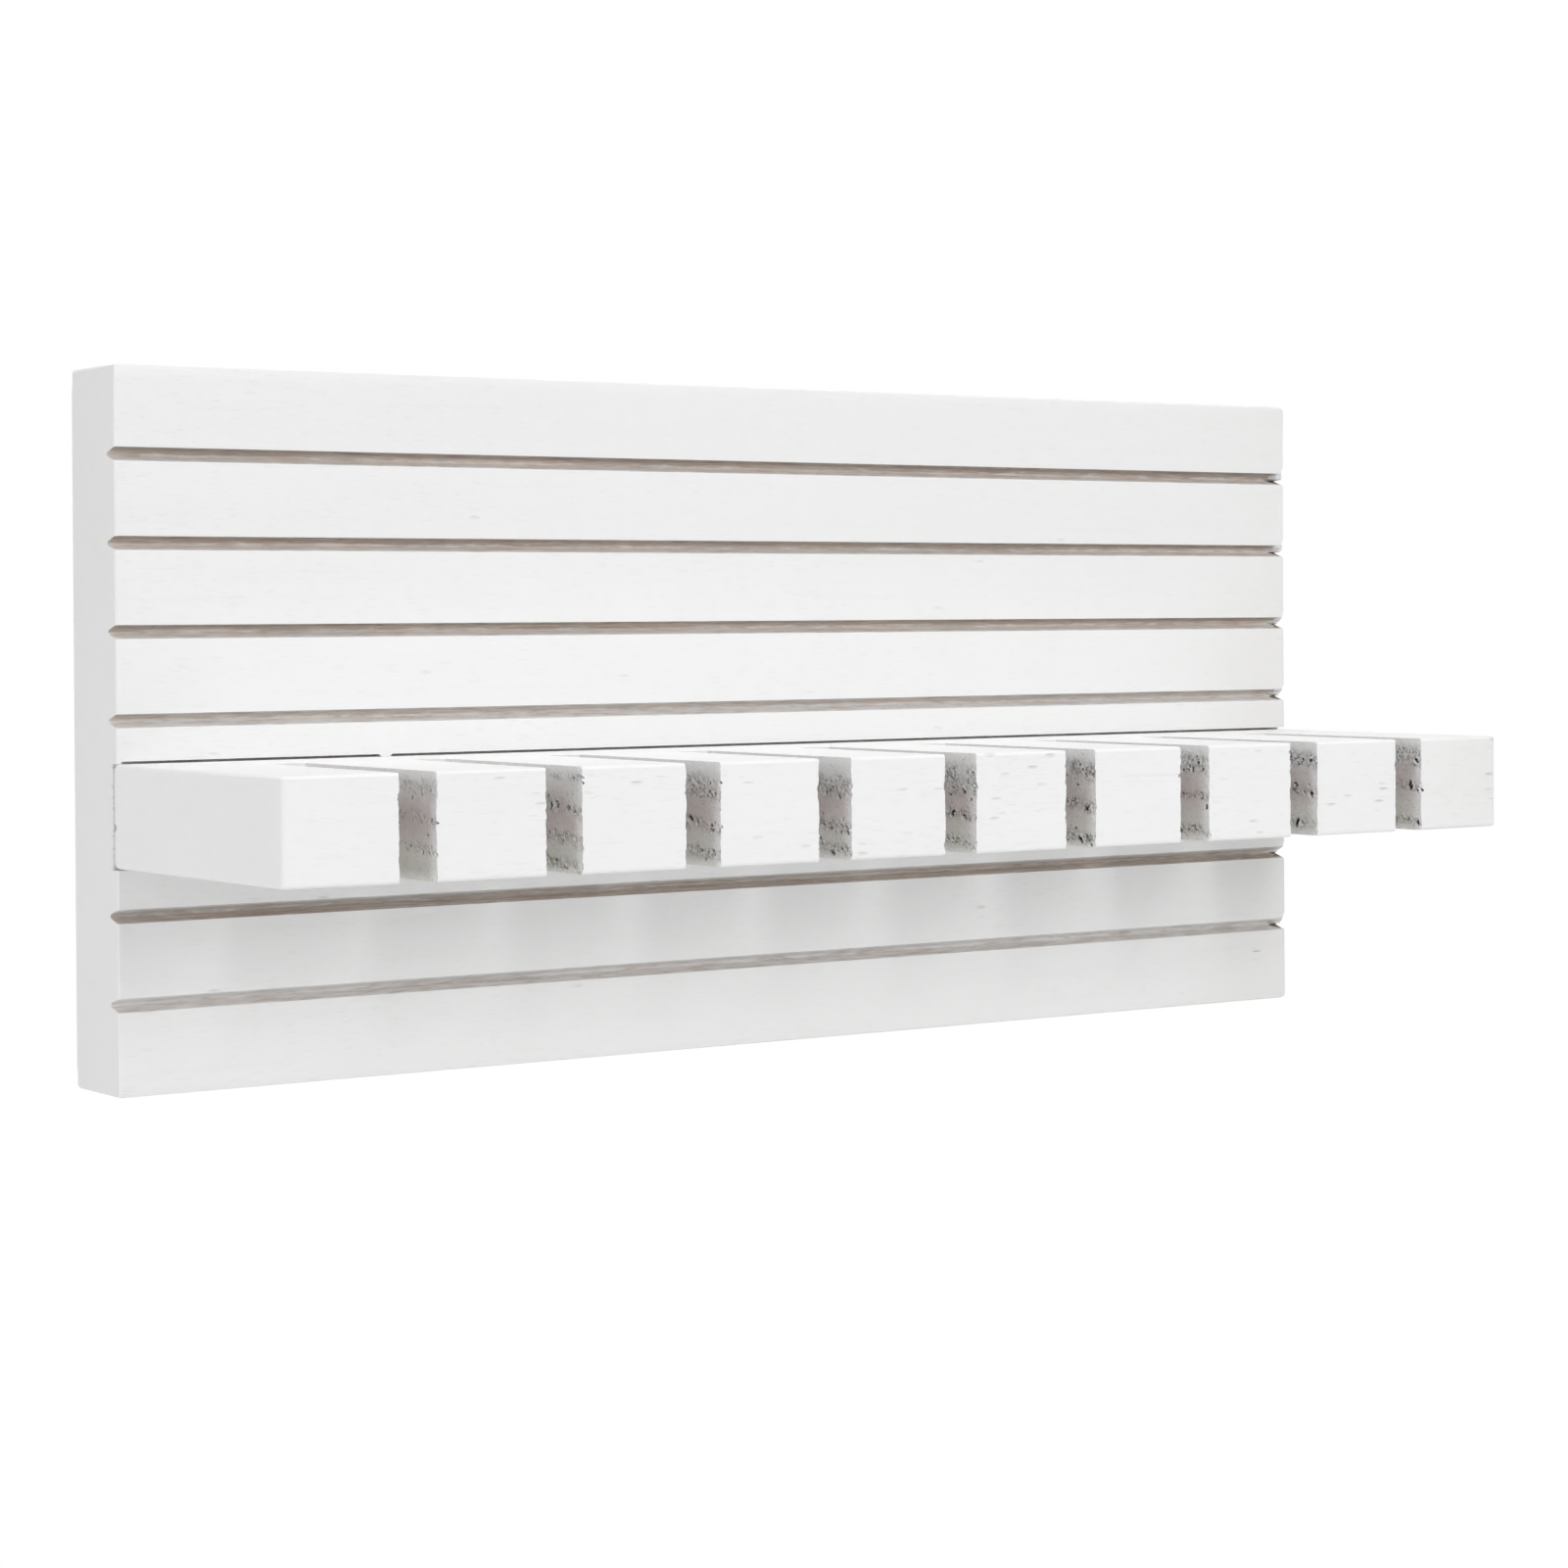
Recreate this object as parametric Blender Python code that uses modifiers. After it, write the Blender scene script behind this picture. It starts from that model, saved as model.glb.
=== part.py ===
"""Wall belt rack: a grooved backboard, a slotted belt rail housed in it, and the fixings behind.

Metres, +Z up, +X to the viewer's right. The front faces -Y and the wall is at Y = 0.
The origin is the centre of the backboard's rear face.
"""

import math

import bmesh
import bpy
from mathutils import Matrix, Vector

MM = 0.001

# Backboard
BOARD_LENGTH = 300 * MM
BOARD_HEIGHT = 140 * MM
BOARD_THICKNESS = 20 * MM
BOARD_FRONT_EASING = 0.5 * MM
BOARD_CORNER_EASING = 1.8 * MM
BOARD_BACK_EASING = 2.5 * MM

# V grooves that divide the face into planks
GROOVE_PITCH = 17.0 * MM
GROOVE_WIDTH = 2.7 * MM
GROOVE_DEPTH = 3.4 * MM
GROOVE_TIP_RADIUS = 0.45 * MM
TOP_PLANK = 17.1 * MM
BOTTOM_PLANK = 17.6 * MM
NARROWEST_PLANK = 5.0 * MM

# Belt rail
RAIL_HEIGHT = 20 * MM
RAIL_DEPTH = 70.3 * MM
RAIL_CENTRE = 53.7 * MM
RAIL_EASING = 0.6 * MM
HOUSING_DEPTH = 2.2 * MM
HOUSING_TOP_GAP = 0.5 * MM
SLOT_COUNT = 9
SLOT_WIDTH = 7.5 * MM
SLOT_DEPTH = 50 * MM

# Countersunk screws driven through the board into the rail
RAIL_SCREW_COUNT = 4
RAIL_SCREW_DIAMETER = 4.0 * MM
RAIL_SCREW_HEAD = 8.0 * MM
RAIL_SCREW_BITE = 16 * MM
RAIL_SCREW_TIP = 5.0 * MM
RAIL_SCREW_SINK = 0.5 * MM

# Keyhole hangers let into the back
HANGER_SPACING = 150 * MM
HANGER_FROM_TOP = 32 * MM
HANGER_LENGTH = 46 * MM
HANGER_WIDTH = 16 * MM
HANGER_THICKNESS = 1.2 * MM
HANGER_SINK = 0.2 * MM
KEYHOLE_ENTRY = 9.5 * MM
KEYHOLE_NECK = 4.8 * MM
KEYHOLE_RISE = 9.0 * MM
POCKET_DEPTH = 8.0 * MM
POCKET_MARGIN = 1.8 * MM

# Countersunk screws that hold the hangers
HANGER_SCREW_SPACING = 34 * MM
HANGER_SCREW_DIAMETER = 2.6 * MM
HANGER_SCREW_HEAD = 4.8 * MM
HANGER_SCREW_LENGTH = 12 * MM
HANGER_SCREW_TIP = 3.0 * MM
HANGER_SCREW_SINK = 0.1 * MM

# Clearances and facets
FIT_GAP = 0.3 * MM
HOLE_RELIEF = 0.5 * MM
CUTTER_OVERRUN = 5 * MM
EASING_SEGMENTS = 5
TURNED_STEPS = 24
ARC_STEPS = 16
GROOVE_TIP_STEPS = 6
SHARP_ANGLE = math.radians(35)

# Places worked out from the sizes above
BOARD_BOTTOM = -BOARD_HEIGHT / 2
BOARD_TOP = BOARD_HEIGHT / 2
BOARD_FRONT = -BOARD_THICKNESS
RAIL_Z = BOARD_BOTTOM + RAIL_CENTRE
RAIL_TOP = RAIL_Z + RAIL_HEIGHT / 2
RAIL_BOTTOM = RAIL_Z - RAIL_HEIGHT / 2
HOUSING_FLOOR = BOARD_FRONT + HOUSING_DEPTH
RAIL_BACK = HOUSING_FLOOR - FIT_GAP
RAIL_FRONT = RAIL_BACK - RAIL_DEPTH
BLOCK_WIDTH = (BOARD_LENGTH - SLOT_COUNT * SLOT_WIDTH) / (SLOT_COUNT + 1)
SLOT_PITCH = BLOCK_WIDTH + SLOT_WIDTH
HANGER_Z = BOARD_TOP - HANGER_FROM_TOP
HANGER_FACE = -HANGER_SINK
# The cone of a 90 degree countersink keeps the fit gap when its radius grows by this much
CONE_GAP = FIT_GAP * math.sqrt(2)


def start_scene():
    """Empty the scene and make one collection for the rack and one for its cutters."""
    for obj in list(bpy.data.objects):
        bpy.data.objects.remove(obj, do_unlink=True)
    for name in ("belt_rack", "cutters"):
        collection = bpy.data.collections.new(name)
        bpy.context.scene.collection.children.link(collection)
    bpy.data.collections["cutters"].hide_render = True


def finish_material(name, colour, roughness, metallic):
    material = bpy.data.materials.new(name)
    material.use_nodes = True
    shader = material.node_tree.nodes["Principled BSDF"]
    shader.inputs["Base Color"].default_value = (*colour, 1.0)
    shader.inputs["Roughness"].default_value = roughness
    shader.inputs["Metallic"].default_value = metallic
    return material


def place_part(obj, material, rack):
    """Put a finished piece in the rack's collection, under the rack's empty."""
    bpy.data.collections["belt_rack"].objects.link(obj)
    obj.data.materials.append(material)
    obj.parent = rack
    return obj


def cut(obj, cutters):
    """Subtract each cutter from the piece."""
    for cutter in cutters:
        cutter.hide_render = True
        cutter.display_type = "WIRE"
        bpy.data.collections["cutters"].objects.link(cutter)
        boolean = obj.modifiers.new(cutter.name, "BOOLEAN")
        boolean.operation = "DIFFERENCE"
        boolean.solver = "EXACT"
        boolean.object = cutter


def box(name, low, high):
    """A box between two corners, with its size in its mesh and its place in its location."""
    low = Vector(low)
    high = Vector(high)
    shape = bmesh.new()
    bmesh.ops.create_cube(shape, size=1.0)
    bmesh.ops.scale(shape, vec=high - low, verts=shape.verts)
    mesh = bpy.data.meshes.new(name)
    shape.to_mesh(mesh)
    shape.free()
    obj = bpy.data.objects.new(name, mesh)
    obj.location = (low + high) / 2
    return obj


def turned(name, profile):
    """A solid turned round local Z from (radius, height) points that run from top to bottom."""
    mesh = bpy.data.meshes.new(name)
    points = [(radius, 0.0, height) for radius, height in profile]
    edges = [(i, i + 1) for i in range(len(points) - 1)]
    mesh.from_pydata(points, edges, [])
    obj = bpy.data.objects.new(name, mesh)
    screw = obj.modifiers.new("turn", "SCREW")
    screw.axis = "Z"
    screw.steps = TURNED_STEPS
    screw.render_steps = TURNED_STEPS
    screw.use_merge_vertices = True
    screw.merge_threshold = 1e-6
    return obj


def prism(name, outlines, thickness):
    """A mesh of the given thickness from flat outlines, where an outline inside another is a hole."""
    curve = bpy.data.curves.new(name, "CURVE")
    curve.dimensions = "2D"
    curve.fill_mode = "BOTH"
    curve.extrude = thickness / 2
    for outline in outlines:
        spline = curve.splines.new("POLY")
        spline.points.add(len(outline) - 1)
        for point, (x, y) in zip(spline.points, outline):
            point.co = (x, y, 0.0, 1.0)
        spline.use_cyclic_u = True
    drawn = bpy.data.objects.new(name, curve)
    bpy.context.scene.collection.objects.link(drawn)
    graph = bpy.context.evaluated_depsgraph_get()
    mesh = bpy.data.meshes.new_from_object(drawn.evaluated_get(graph))
    bpy.data.objects.remove(drawn, do_unlink=True)
    shape = bmesh.new()
    shape.from_mesh(mesh)
    bmesh.ops.remove_doubles(shape, verts=shape.verts, dist=1e-6)
    bmesh.ops.recalc_face_normals(shape, faces=shape.faces)
    shape.to_mesh(mesh)
    shape.free()
    return bpy.data.objects.new(name, mesh)


def arc(centre, radius, start, end, steps=ARC_STEPS):
    """Points on an arc between two angles, both included."""
    points = []
    for i in range(steps + 1):
        angle = start + (end - start) * i / steps
        x = centre[0] + radius * math.cos(angle)
        y = centre[1] + radius * math.sin(angle)
        points.append((x, y))
    return points


def upright_obround(width, bottom, top):
    """An outline with round ends, where bottom and top are the centres of its end arcs."""
    lower = arc((0.0, bottom), width / 2, math.pi, 2 * math.pi)
    upper = arc((0.0, top), width / 2, 0.0, math.pi)
    return lower + upper


def keyhole_outline(entry_z, neck_z):
    """The round entry below and the narrow neck above it."""
    half_neck = math.asin(KEYHOLE_NECK / KEYHOLE_ENTRY)
    right = math.pi / 2 - half_neck
    entry = arc((0.0, entry_z), KEYHOLE_ENTRY / 2, math.pi - right, 2 * math.pi + right)
    neck = arc((0.0, neck_z), KEYHOLE_NECK / 2, 0.0, math.pi)
    return entry + neck


def facing_wall(obj, x, y, z):
    """Stand a flat piece up so that its drawn face looks along -Y, centred at the given point."""
    obj.matrix_world = Matrix.Translation((x, y, z)) @ Matrix.Rotation(math.pi / 2, 4, "X")
    return obj


def driven_from_back(obj, x, y, z):
    """Lay a turned piece along Y with its top towards the wall."""
    obj.matrix_world = Matrix.Translation((x, y, z)) @ Matrix.Rotation(-math.pi / 2, 4, "X")
    return obj


def screw_profile(head, diameter, length, tip):
    """Half section of a countersunk screw, its flat top at height 0."""
    head_height = (head - diameter) / 2
    return [
        (0.0, 0.0),
        (head / 2, 0.0),
        (diameter / 2, -head_height),
        (diameter / 2, -length + tip),
        (0.0, -length),
    ]


def screw_hole_profile(head, diameter, length, tip):
    """Half section of the hole that takes such a screw with the fit gap all round."""
    head_height = (head - diameter) / 2
    mouth = head / 2 + CONE_GAP
    throat = diameter / 2 + FIT_GAP
    throat_depth = head_height + CONE_GAP - FIT_GAP
    return [
        (0.0, CUTTER_OVERRUN),
        (mouth, CUTTER_OVERRUN),
        (mouth, 0.0),
        (throat, -throat_depth),
        (throat, -length + tip),
        (0.0, -length - HOLE_RELIEF),
    ]


def groove_heights():
    """As many groove centres above and below the rail as leave a whole plank beside it."""
    heights = []
    z = BOARD_TOP - TOP_PLANK
    while z > RAIL_TOP + NARROWEST_PLANK:
        heights.append(z)
        z -= GROOVE_PITCH
    z = BOARD_BOTTOM + BOTTOM_PLANK
    while z < RAIL_BOTTOM - NARROWEST_PLANK:
        heights.append(z)
        z += GROOVE_PITCH
    return heights


def groove_cutter(name, z):
    """A V along the whole board, opening at the face, with flanks that run into a round tip."""
    tip_centre = GROOVE_DEPTH - GROOVE_TIP_RADIUS
    half_mouth = GROOVE_WIDTH / 2
    half_angle = math.atan2(half_mouth, tip_centre)
    half_angle -= math.asin(GROOVE_TIP_RADIUS / math.hypot(half_mouth, tip_centre))
    reach = half_mouth + CUTTER_OVERRUN * math.tan(half_angle)
    turn_in = math.pi / 2 - half_angle
    tip = arc((tip_centre, 0.0), GROOVE_TIP_RADIUS, -turn_in, turn_in, GROOVE_TIP_STEPS)
    section = [(-CUTTER_OVERRUN, -reach), *tip, (-CUTTER_OVERRUN, reach)]
    cutter = prism(name, [section], BOARD_LENGTH + 2 * CUTTER_OVERRUN)
    # Drawn X lies along Y, drawn Y along Z and the extrusion along X
    turn = Matrix(((0, 0, 1, 0), (1, 0, 0, 0), (0, 1, 0, 0), (0, 0, 0, 1)))
    cutter.matrix_world = Matrix.Translation((0.0, BOARD_FRONT, z)) @ turn
    return cutter


def housing_cutter():
    """The shallow housing along the face that takes the back of the rail."""
    end = BOARD_LENGTH / 2 + CUTTER_OVERRUN
    low = (-end, BOARD_FRONT - CUTTER_OVERRUN, RAIL_BOTTOM - FIT_GAP)
    high = (end, HOUSING_FLOOR, RAIL_TOP + HOUSING_TOP_GAP)
    return box("housing", low, high)


def slot_centres():
    first = -BOARD_LENGTH / 2 + BLOCK_WIDTH + SLOT_WIDTH / 2
    return [first + i * SLOT_PITCH for i in range(SLOT_COUNT)]


def rail_screw_places():
    """Evenly spread screws, each moved to the middle of the nearest block so that none meets a slot."""
    places = []
    for i in range(RAIL_SCREW_COUNT):
        even = BOARD_LENGTH * ((i + 0.5) / RAIL_SCREW_COUNT - 0.5)
        block = round((even + BOARD_LENGTH / 2 - BLOCK_WIDTH / 2) / SLOT_PITCH)
        places.append(-BOARD_LENGTH / 2 + BLOCK_WIDTH / 2 + block * SLOT_PITCH)
    return places


def rail_screw_length():
    """From the sunk head, through the board's web and the gap, to the bite in the rail."""
    return -RAIL_SCREW_SINK - RAIL_BACK + RAIL_SCREW_BITE


def rail_screw_hole(name, x):
    length = rail_screw_length()
    profile = screw_hole_profile(RAIL_SCREW_HEAD, RAIL_SCREW_DIAMETER, length, RAIL_SCREW_TIP)
    return driven_from_back(turned(name, profile), x, -RAIL_SCREW_SINK, RAIL_Z)


def hanger_places():
    return {"left": -HANGER_SPACING / 2, "right": HANGER_SPACING / 2}


def hanger_screw_places():
    """Height of each hanger's two screws."""
    return {"top": HANGER_Z + HANGER_SCREW_SPACING / 2, "bottom": HANGER_Z - HANGER_SCREW_SPACING / 2}


def hanger_screw_hole(name, x, z):
    profile = screw_hole_profile(
        HANGER_SCREW_HEAD, HANGER_SCREW_DIAMETER, HANGER_SCREW_LENGTH, HANGER_SCREW_TIP
    )
    return driven_from_back(turned(name, profile), x, HANGER_FACE - HANGER_SCREW_SINK, z)


def keyhole_span():
    """Heights of the entry's centre and the neck's end, measured from the hanger's middle."""
    return -KEYHOLE_RISE / 2, KEYHOLE_RISE / 2


def hanger_recess(name, x):
    """The stopped recess that lets a hanger's plate in below the back."""
    width = HANGER_WIDTH + 2 * FIT_GAP
    reach = (HANGER_LENGTH - HANGER_WIDTH) / 2
    depth = HANGER_SINK + HANGER_THICKNESS + FIT_GAP
    cutter = prism(name, [upright_obround(width, -reach, reach)], depth + CUTTER_OVERRUN)
    return facing_wall(cutter, x, (CUTTER_OVERRUN - depth) / 2, HANGER_Z)


def hanger_pocket(name, x):
    """The deeper pocket behind the keyhole, where the head of the wall screw travels."""
    width = KEYHOLE_ENTRY + 2 * POCKET_MARGIN
    entry_z, neck_z = keyhole_span()
    depth = HANGER_SINK + HANGER_THICKNESS + FIT_GAP + POCKET_DEPTH
    cutter = prism(name, [upright_obround(width, entry_z, neck_z)], depth + CUTTER_OVERRUN)
    return facing_wall(cutter, x, (CUTTER_OVERRUN - depth) / 2, HANGER_Z)


def ease_edges(obj, width):
    bevel = obj.modifiers.new("eased edges", "BEVEL")
    bevel.width = width
    bevel.segments = EASING_SEGMENTS
    return bevel


def make_backboard(material, rack):
    low = (-BOARD_LENGTH / 2, BOARD_FRONT, BOARD_BOTTOM)
    high = (BOARD_LENGTH / 2, 0.0, BOARD_TOP)
    board = box("backboard", low, high)

    # The face keeps crisp edges, and the four corners and the edges at the wall are rounder,
    # so each edge carries its share of the bevel
    widest = max(BOARD_FRONT_EASING, BOARD_CORNER_EASING, BOARD_BACK_EASING)
    shape = bmesh.new()
    shape.from_mesh(board.data)
    weights = shape.edges.layers.float.new("bevel_weight_edge")
    for edge in shape.edges:
        ends_at_wall = sum(vert.co.y > 0 for vert in edge.verts)
        easing = (BOARD_FRONT_EASING, BOARD_CORNER_EASING, BOARD_BACK_EASING)[ends_at_wall]
        edge[weights] = easing / widest
    shape.to_mesh(board.data)
    shape.free()
    ease_edges(board, widest).limit_method = "WEIGHT"

    cut(board, [groove_cutter(f"groove_{i + 1}", z) for i, z in enumerate(groove_heights())])
    cut(board, [housing_cutter()])
    holes = [rail_screw_hole(f"board_hole_{i + 1}", x) for i, x in enumerate(rail_screw_places())]
    cut(board, holes)
    for side, x in hanger_places().items():
        cut(board, [hanger_recess(f"recess_{side}", x), hanger_pocket(f"pocket_{side}", x)])
        for end, z in hanger_screw_places().items():
            cut(board, [hanger_screw_hole(f"board_pilot_{side}_{end}", x, z)])
    return place_part(board, material, rack)


def make_belt_rail(material, rack):
    low = (-BOARD_LENGTH / 2, RAIL_FRONT, RAIL_BOTTOM)
    high = (BOARD_LENGTH / 2, RAIL_BACK, RAIL_TOP)
    rail = box("belt_rail", low, high)
    ease_edges(rail, RAIL_EASING)

    # The slots are sawn after the edges are eased, so their own corners stay sharp
    slots = []
    for i, x in enumerate(slot_centres()):
        slot_low = (x - SLOT_WIDTH / 2, RAIL_FRONT - CUTTER_OVERRUN, RAIL_BOTTOM - CUTTER_OVERRUN)
        slot_high = (x + SLOT_WIDTH / 2, RAIL_FRONT + SLOT_DEPTH, RAIL_TOP + CUTTER_OVERRUN)
        slots.append(box(f"slot_{i + 1}", slot_low, slot_high))
    cut(rail, slots)
    pilots = [rail_screw_hole(f"rail_pilot_{i + 1}", x) for i, x in enumerate(rail_screw_places())]
    cut(rail, pilots)
    return place_part(rail, material, rack)


def make_rail_screws(material, rack):
    profile = screw_profile(RAIL_SCREW_HEAD, RAIL_SCREW_DIAMETER, rail_screw_length(), RAIL_SCREW_TIP)
    for i, x in enumerate(rail_screw_places()):
        screw = driven_from_back(turned(f"rail_screw_{i + 1}", profile), x, -RAIL_SCREW_SINK, RAIL_Z)
        place_part(screw, material, rack)


def make_hangers(material, rack):
    reach = (HANGER_LENGTH - HANGER_WIDTH) / 2
    outlines = [upright_obround(HANGER_WIDTH, -reach, reach), keyhole_outline(*keyhole_span())]
    for side, x in hanger_places().items():
        plate = prism(f"keyhole_hanger_{side}", outlines, HANGER_THICKNESS)
        facing_wall(plate, x, HANGER_FACE - HANGER_THICKNESS / 2, HANGER_Z)
        for end, z in hanger_screw_places().items():
            cut(plate, [hanger_screw_hole(f"hanger_hole_{side}_{end}", x, z)])
        place_part(plate, material, rack)


def make_hanger_screws(material, rack):
    profile = screw_profile(
        HANGER_SCREW_HEAD, HANGER_SCREW_DIAMETER, HANGER_SCREW_LENGTH, HANGER_SCREW_TIP
    )
    head_y = HANGER_FACE - HANGER_SCREW_SINK
    for side, x in hanger_places().items():
        for end, z in hanger_screw_places().items():
            screw = driven_from_back(turned(f"hanger_screw_{side}_{end}", profile), x, head_y, z)
            place_part(screw, material, rack)


def shade_round_pieces():
    """Smooth the flat pieces' meshes wherever their faces meet at a shallow angle."""
    for obj in bpy.data.collections["belt_rack"].objects:
        if obj.type == "MESH" and obj.data.polygons:
            obj.data.shade_smooth()
            obj.data.set_sharp_from_angle(angle=SHARP_ANGLE)


def main():
    start_scene()
    rack = bpy.data.objects.new("rack_origin", None)
    bpy.data.collections["belt_rack"].objects.link(rack)
    white_paint = finish_material("white_paint", (0.86, 0.855, 0.84), 0.55, 0.0)
    white_rail = finish_material("white_rail_paint", (0.89, 0.885, 0.875), 0.5, 0.0)
    zinc = finish_material("zinc_plate", (0.62, 0.62, 0.6), 0.35, 1.0)
    yellow_zinc = finish_material("yellow_zinc", (0.6, 0.5, 0.28), 0.38, 1.0)
    make_backboard(white_paint, rack)
    make_belt_rail(white_rail, rack)
    make_rail_screws(yellow_zinc, rack)
    make_hangers(zinc, rack)
    make_hanger_screws(zinc, rack)
    shade_round_pieces()


main()
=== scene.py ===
"""Belt rack: a white painted board with V grooves, a slotted rail and the fixings behind.

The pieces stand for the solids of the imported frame. Metres, +Z up, the front faces -Y, the wall is at Y = 0.
"""

import math

import bmesh
import bpy
import numpy as np
from bpy.props import FloatProperty, FloatVectorProperty, IntProperty, PointerProperty
from mathutils import Matrix, Vector


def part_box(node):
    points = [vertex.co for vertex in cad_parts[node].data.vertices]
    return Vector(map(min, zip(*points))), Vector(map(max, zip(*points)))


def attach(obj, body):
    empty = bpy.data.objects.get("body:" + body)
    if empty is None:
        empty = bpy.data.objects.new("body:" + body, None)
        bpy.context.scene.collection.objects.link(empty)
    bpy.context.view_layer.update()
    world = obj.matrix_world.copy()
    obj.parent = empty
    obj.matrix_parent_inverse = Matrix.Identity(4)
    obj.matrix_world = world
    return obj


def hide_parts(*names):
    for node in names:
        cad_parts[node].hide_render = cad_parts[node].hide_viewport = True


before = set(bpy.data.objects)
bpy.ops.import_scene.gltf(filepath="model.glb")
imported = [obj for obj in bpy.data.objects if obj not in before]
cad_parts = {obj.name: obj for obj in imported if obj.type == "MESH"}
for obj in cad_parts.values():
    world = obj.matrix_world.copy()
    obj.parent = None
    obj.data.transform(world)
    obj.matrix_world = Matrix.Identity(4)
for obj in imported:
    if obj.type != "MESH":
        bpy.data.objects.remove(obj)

bl_info = {
    "name": "Belt Rack",
    "version": (1, 0, 0),
    "blender": (4, 5, 0),
    "location": "3D View > Sidebar > Belt Rack",
    "description": "Dresses a wall belt rack: painted wood, sawn slots, hangers and screws",
    "category": "Object",
}

MM = 0.001
# How near two places count as the same: exactly, where solids touch, and for points that merge
CLOSE = 0.01 * MM
TOUCH = 0.02 * MM
MERGE = 0.002 * MM
# How far inside a solid a cut or a wall has to lie
MARGIN = 0.1 * MM
# Metres within which a cut snaps to a point, and the bend that still counts as flat
SNAP = 1e-6
FLAT = math.radians(0.3)
# Least part of a normal along an axis for a face square to it, and for one that is turned that way
SQUARE = 0.99
TURNED = 0.5
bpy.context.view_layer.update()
BOARD_LOW, BOARD_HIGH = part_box("backboard")
RAIL_LOW, RAIL_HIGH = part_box("belt_rail")


def length(name, description, millimetres):
    return FloatProperty(
        name=name, description=description, default=millimetres * MM, min=0.0, unit="LENGTH", precision=5
    )


def colour(name, description, rgb):
    return FloatVectorProperty(
        name=name, description=description, default=rgb, size=3, min=0.0, max=1.0, subtype="COLOR"
    )


def place(name, description, metres):
    return FloatVectorProperty(
        name=name, description=description, default=metres, size=3, subtype="TRANSLATION", unit="LENGTH"
    )


def angle(name, description, degrees):
    return FloatProperty(name=name, description=description, default=math.radians(degrees), subtype="ANGLE")


def power(name, description, watts):
    return FloatProperty(name=name, description=description, default=watts, min=0.0, unit="POWER")


def count(name, description, number):
    return IntProperty(name=name, description=description, default=number, min=0)


class BeltRackFinish(bpy.types.PropertyGroup):
    """Colours of the paint, the bare wood and the plated steel."""

    board_paint: colour("Board paint", "White paint on the board", (0.885, 0.885, 0.884))
    # The same white as the board's, made lighter on the rail: painted light for the rail's faces that stand
    # out into the light
    rail_paint: colour("Rail paint", "White paint on the rail", (0.926, 0.926, 0.928))
    thin_paint: colour("Thin paint", "Where the paint is thin over the grain", (0.80, 0.79, 0.772))
    groove_light: colour("Groove light", "Paler streaks of the bare wood", (0.78, 0.695, 0.63))
    groove_dark: colour("Groove dark", "Darker streaks of the bare wood", (0.49, 0.415, 0.36))
    # Also the colour of the painted shade in the dents of the paint
    groove_grey: colour("Groove grey", "Weathered wood, and the dents in the paint", (0.62, 0.58, 0.545))
    # Painted shade inside a groove's lip on the flank turned from the light, partly a darker line in the wood,
    # and painted shade in the crack below the torn fibre
    groove_lip: colour("Groove lip", "Burnt line just inside a groove's lip", (0.24, 0.19, 0.155))
    sawn_light: colour("Sawn light", "End grain of a slot wall", (0.85, 0.84, 0.82))
    sawn_pink: colour("Sawn pink", "Rosier heart of the end grain", (0.735, 0.675, 0.66))
    sawn_moss: colour("Sawn moss", "Greener grey low on a slot wall", (0.72, 0.71, 0.66))
    sawn_brown: colour("Sawn brown", "Broken fibres in the torn bands", (0.24, 0.19, 0.16))
    # Painted shade at the bottom of the torn pits and on the dark side of the curled fibres
    sawn_shade: colour("Sawn dark", "Bottom of the torn pits", (0.05, 0.04, 0.034))
    zinc: colour("Zinc", "Bright zinc plate", (0.62, 0.62, 0.60))
    yellow_zinc: colour("Yellow zinc", "Yellow passivated zinc plate", (0.62, 0.50, 0.26))


class BeltRackBoard(bpy.types.PropertyGroup):
    """Sizes of the fine work on the board."""

    back_easing: length("Back easing", "Rounding of the board's back edges in the frame", 2.5)
    back_round: length("Back rounding", "Tighter rounding of the upright back edges", 0.8)
    corner_easing: length("Corner easing", "Rounding of the edges from front to back in the frame", 1.8)
    corner_round: length("Corner rounding", "Tighter rounding of those edges at the left end", 0.5)
    lip: length("Groove lip", "Rounding of the edges at a groove's mouth", 0.18)
    mouth: length("Housing mouth", "Rounding of the housing's edge on the board's ends", 0.45)
    tear_reach: length("Tear-out reach", "How far from the board's end a groove's lips are torn", 6.0)
    tear_step: length("Tear-out step", "Spacing of the points along a torn lip", 0.35)
    tear_size: length("Tear-out size", "Deepest tear of a groove's lip", 0.55)
    plug_reach: length("Plug reach", "How far the torn fibre in a groove's right end comes in", 3.4)
    plug_step: length("Plug step", "Spacing of the points across a groove's right end", 0.24)
    plug_crack: length("Plug crack", "Crack below the torn fibre, from the groove's middle down", 0.75)
    worn_corner: length("Worn corner", "Rounding of the strips' corners at the grooves' right ends", 1.2)
    bridge_at: length("Bridge place", "How far left of the middle paint closes the gap above the rail", 91.9)
    bridge_width: length("Bridge width", "Half width of that paint bridge", 1.0)
    corner_fill: length("Corner fill", "How far paint closes that gap at the board's left end", 0.9)
    seed: count("Seed", "Pattern of the tear-out", 4)


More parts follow.
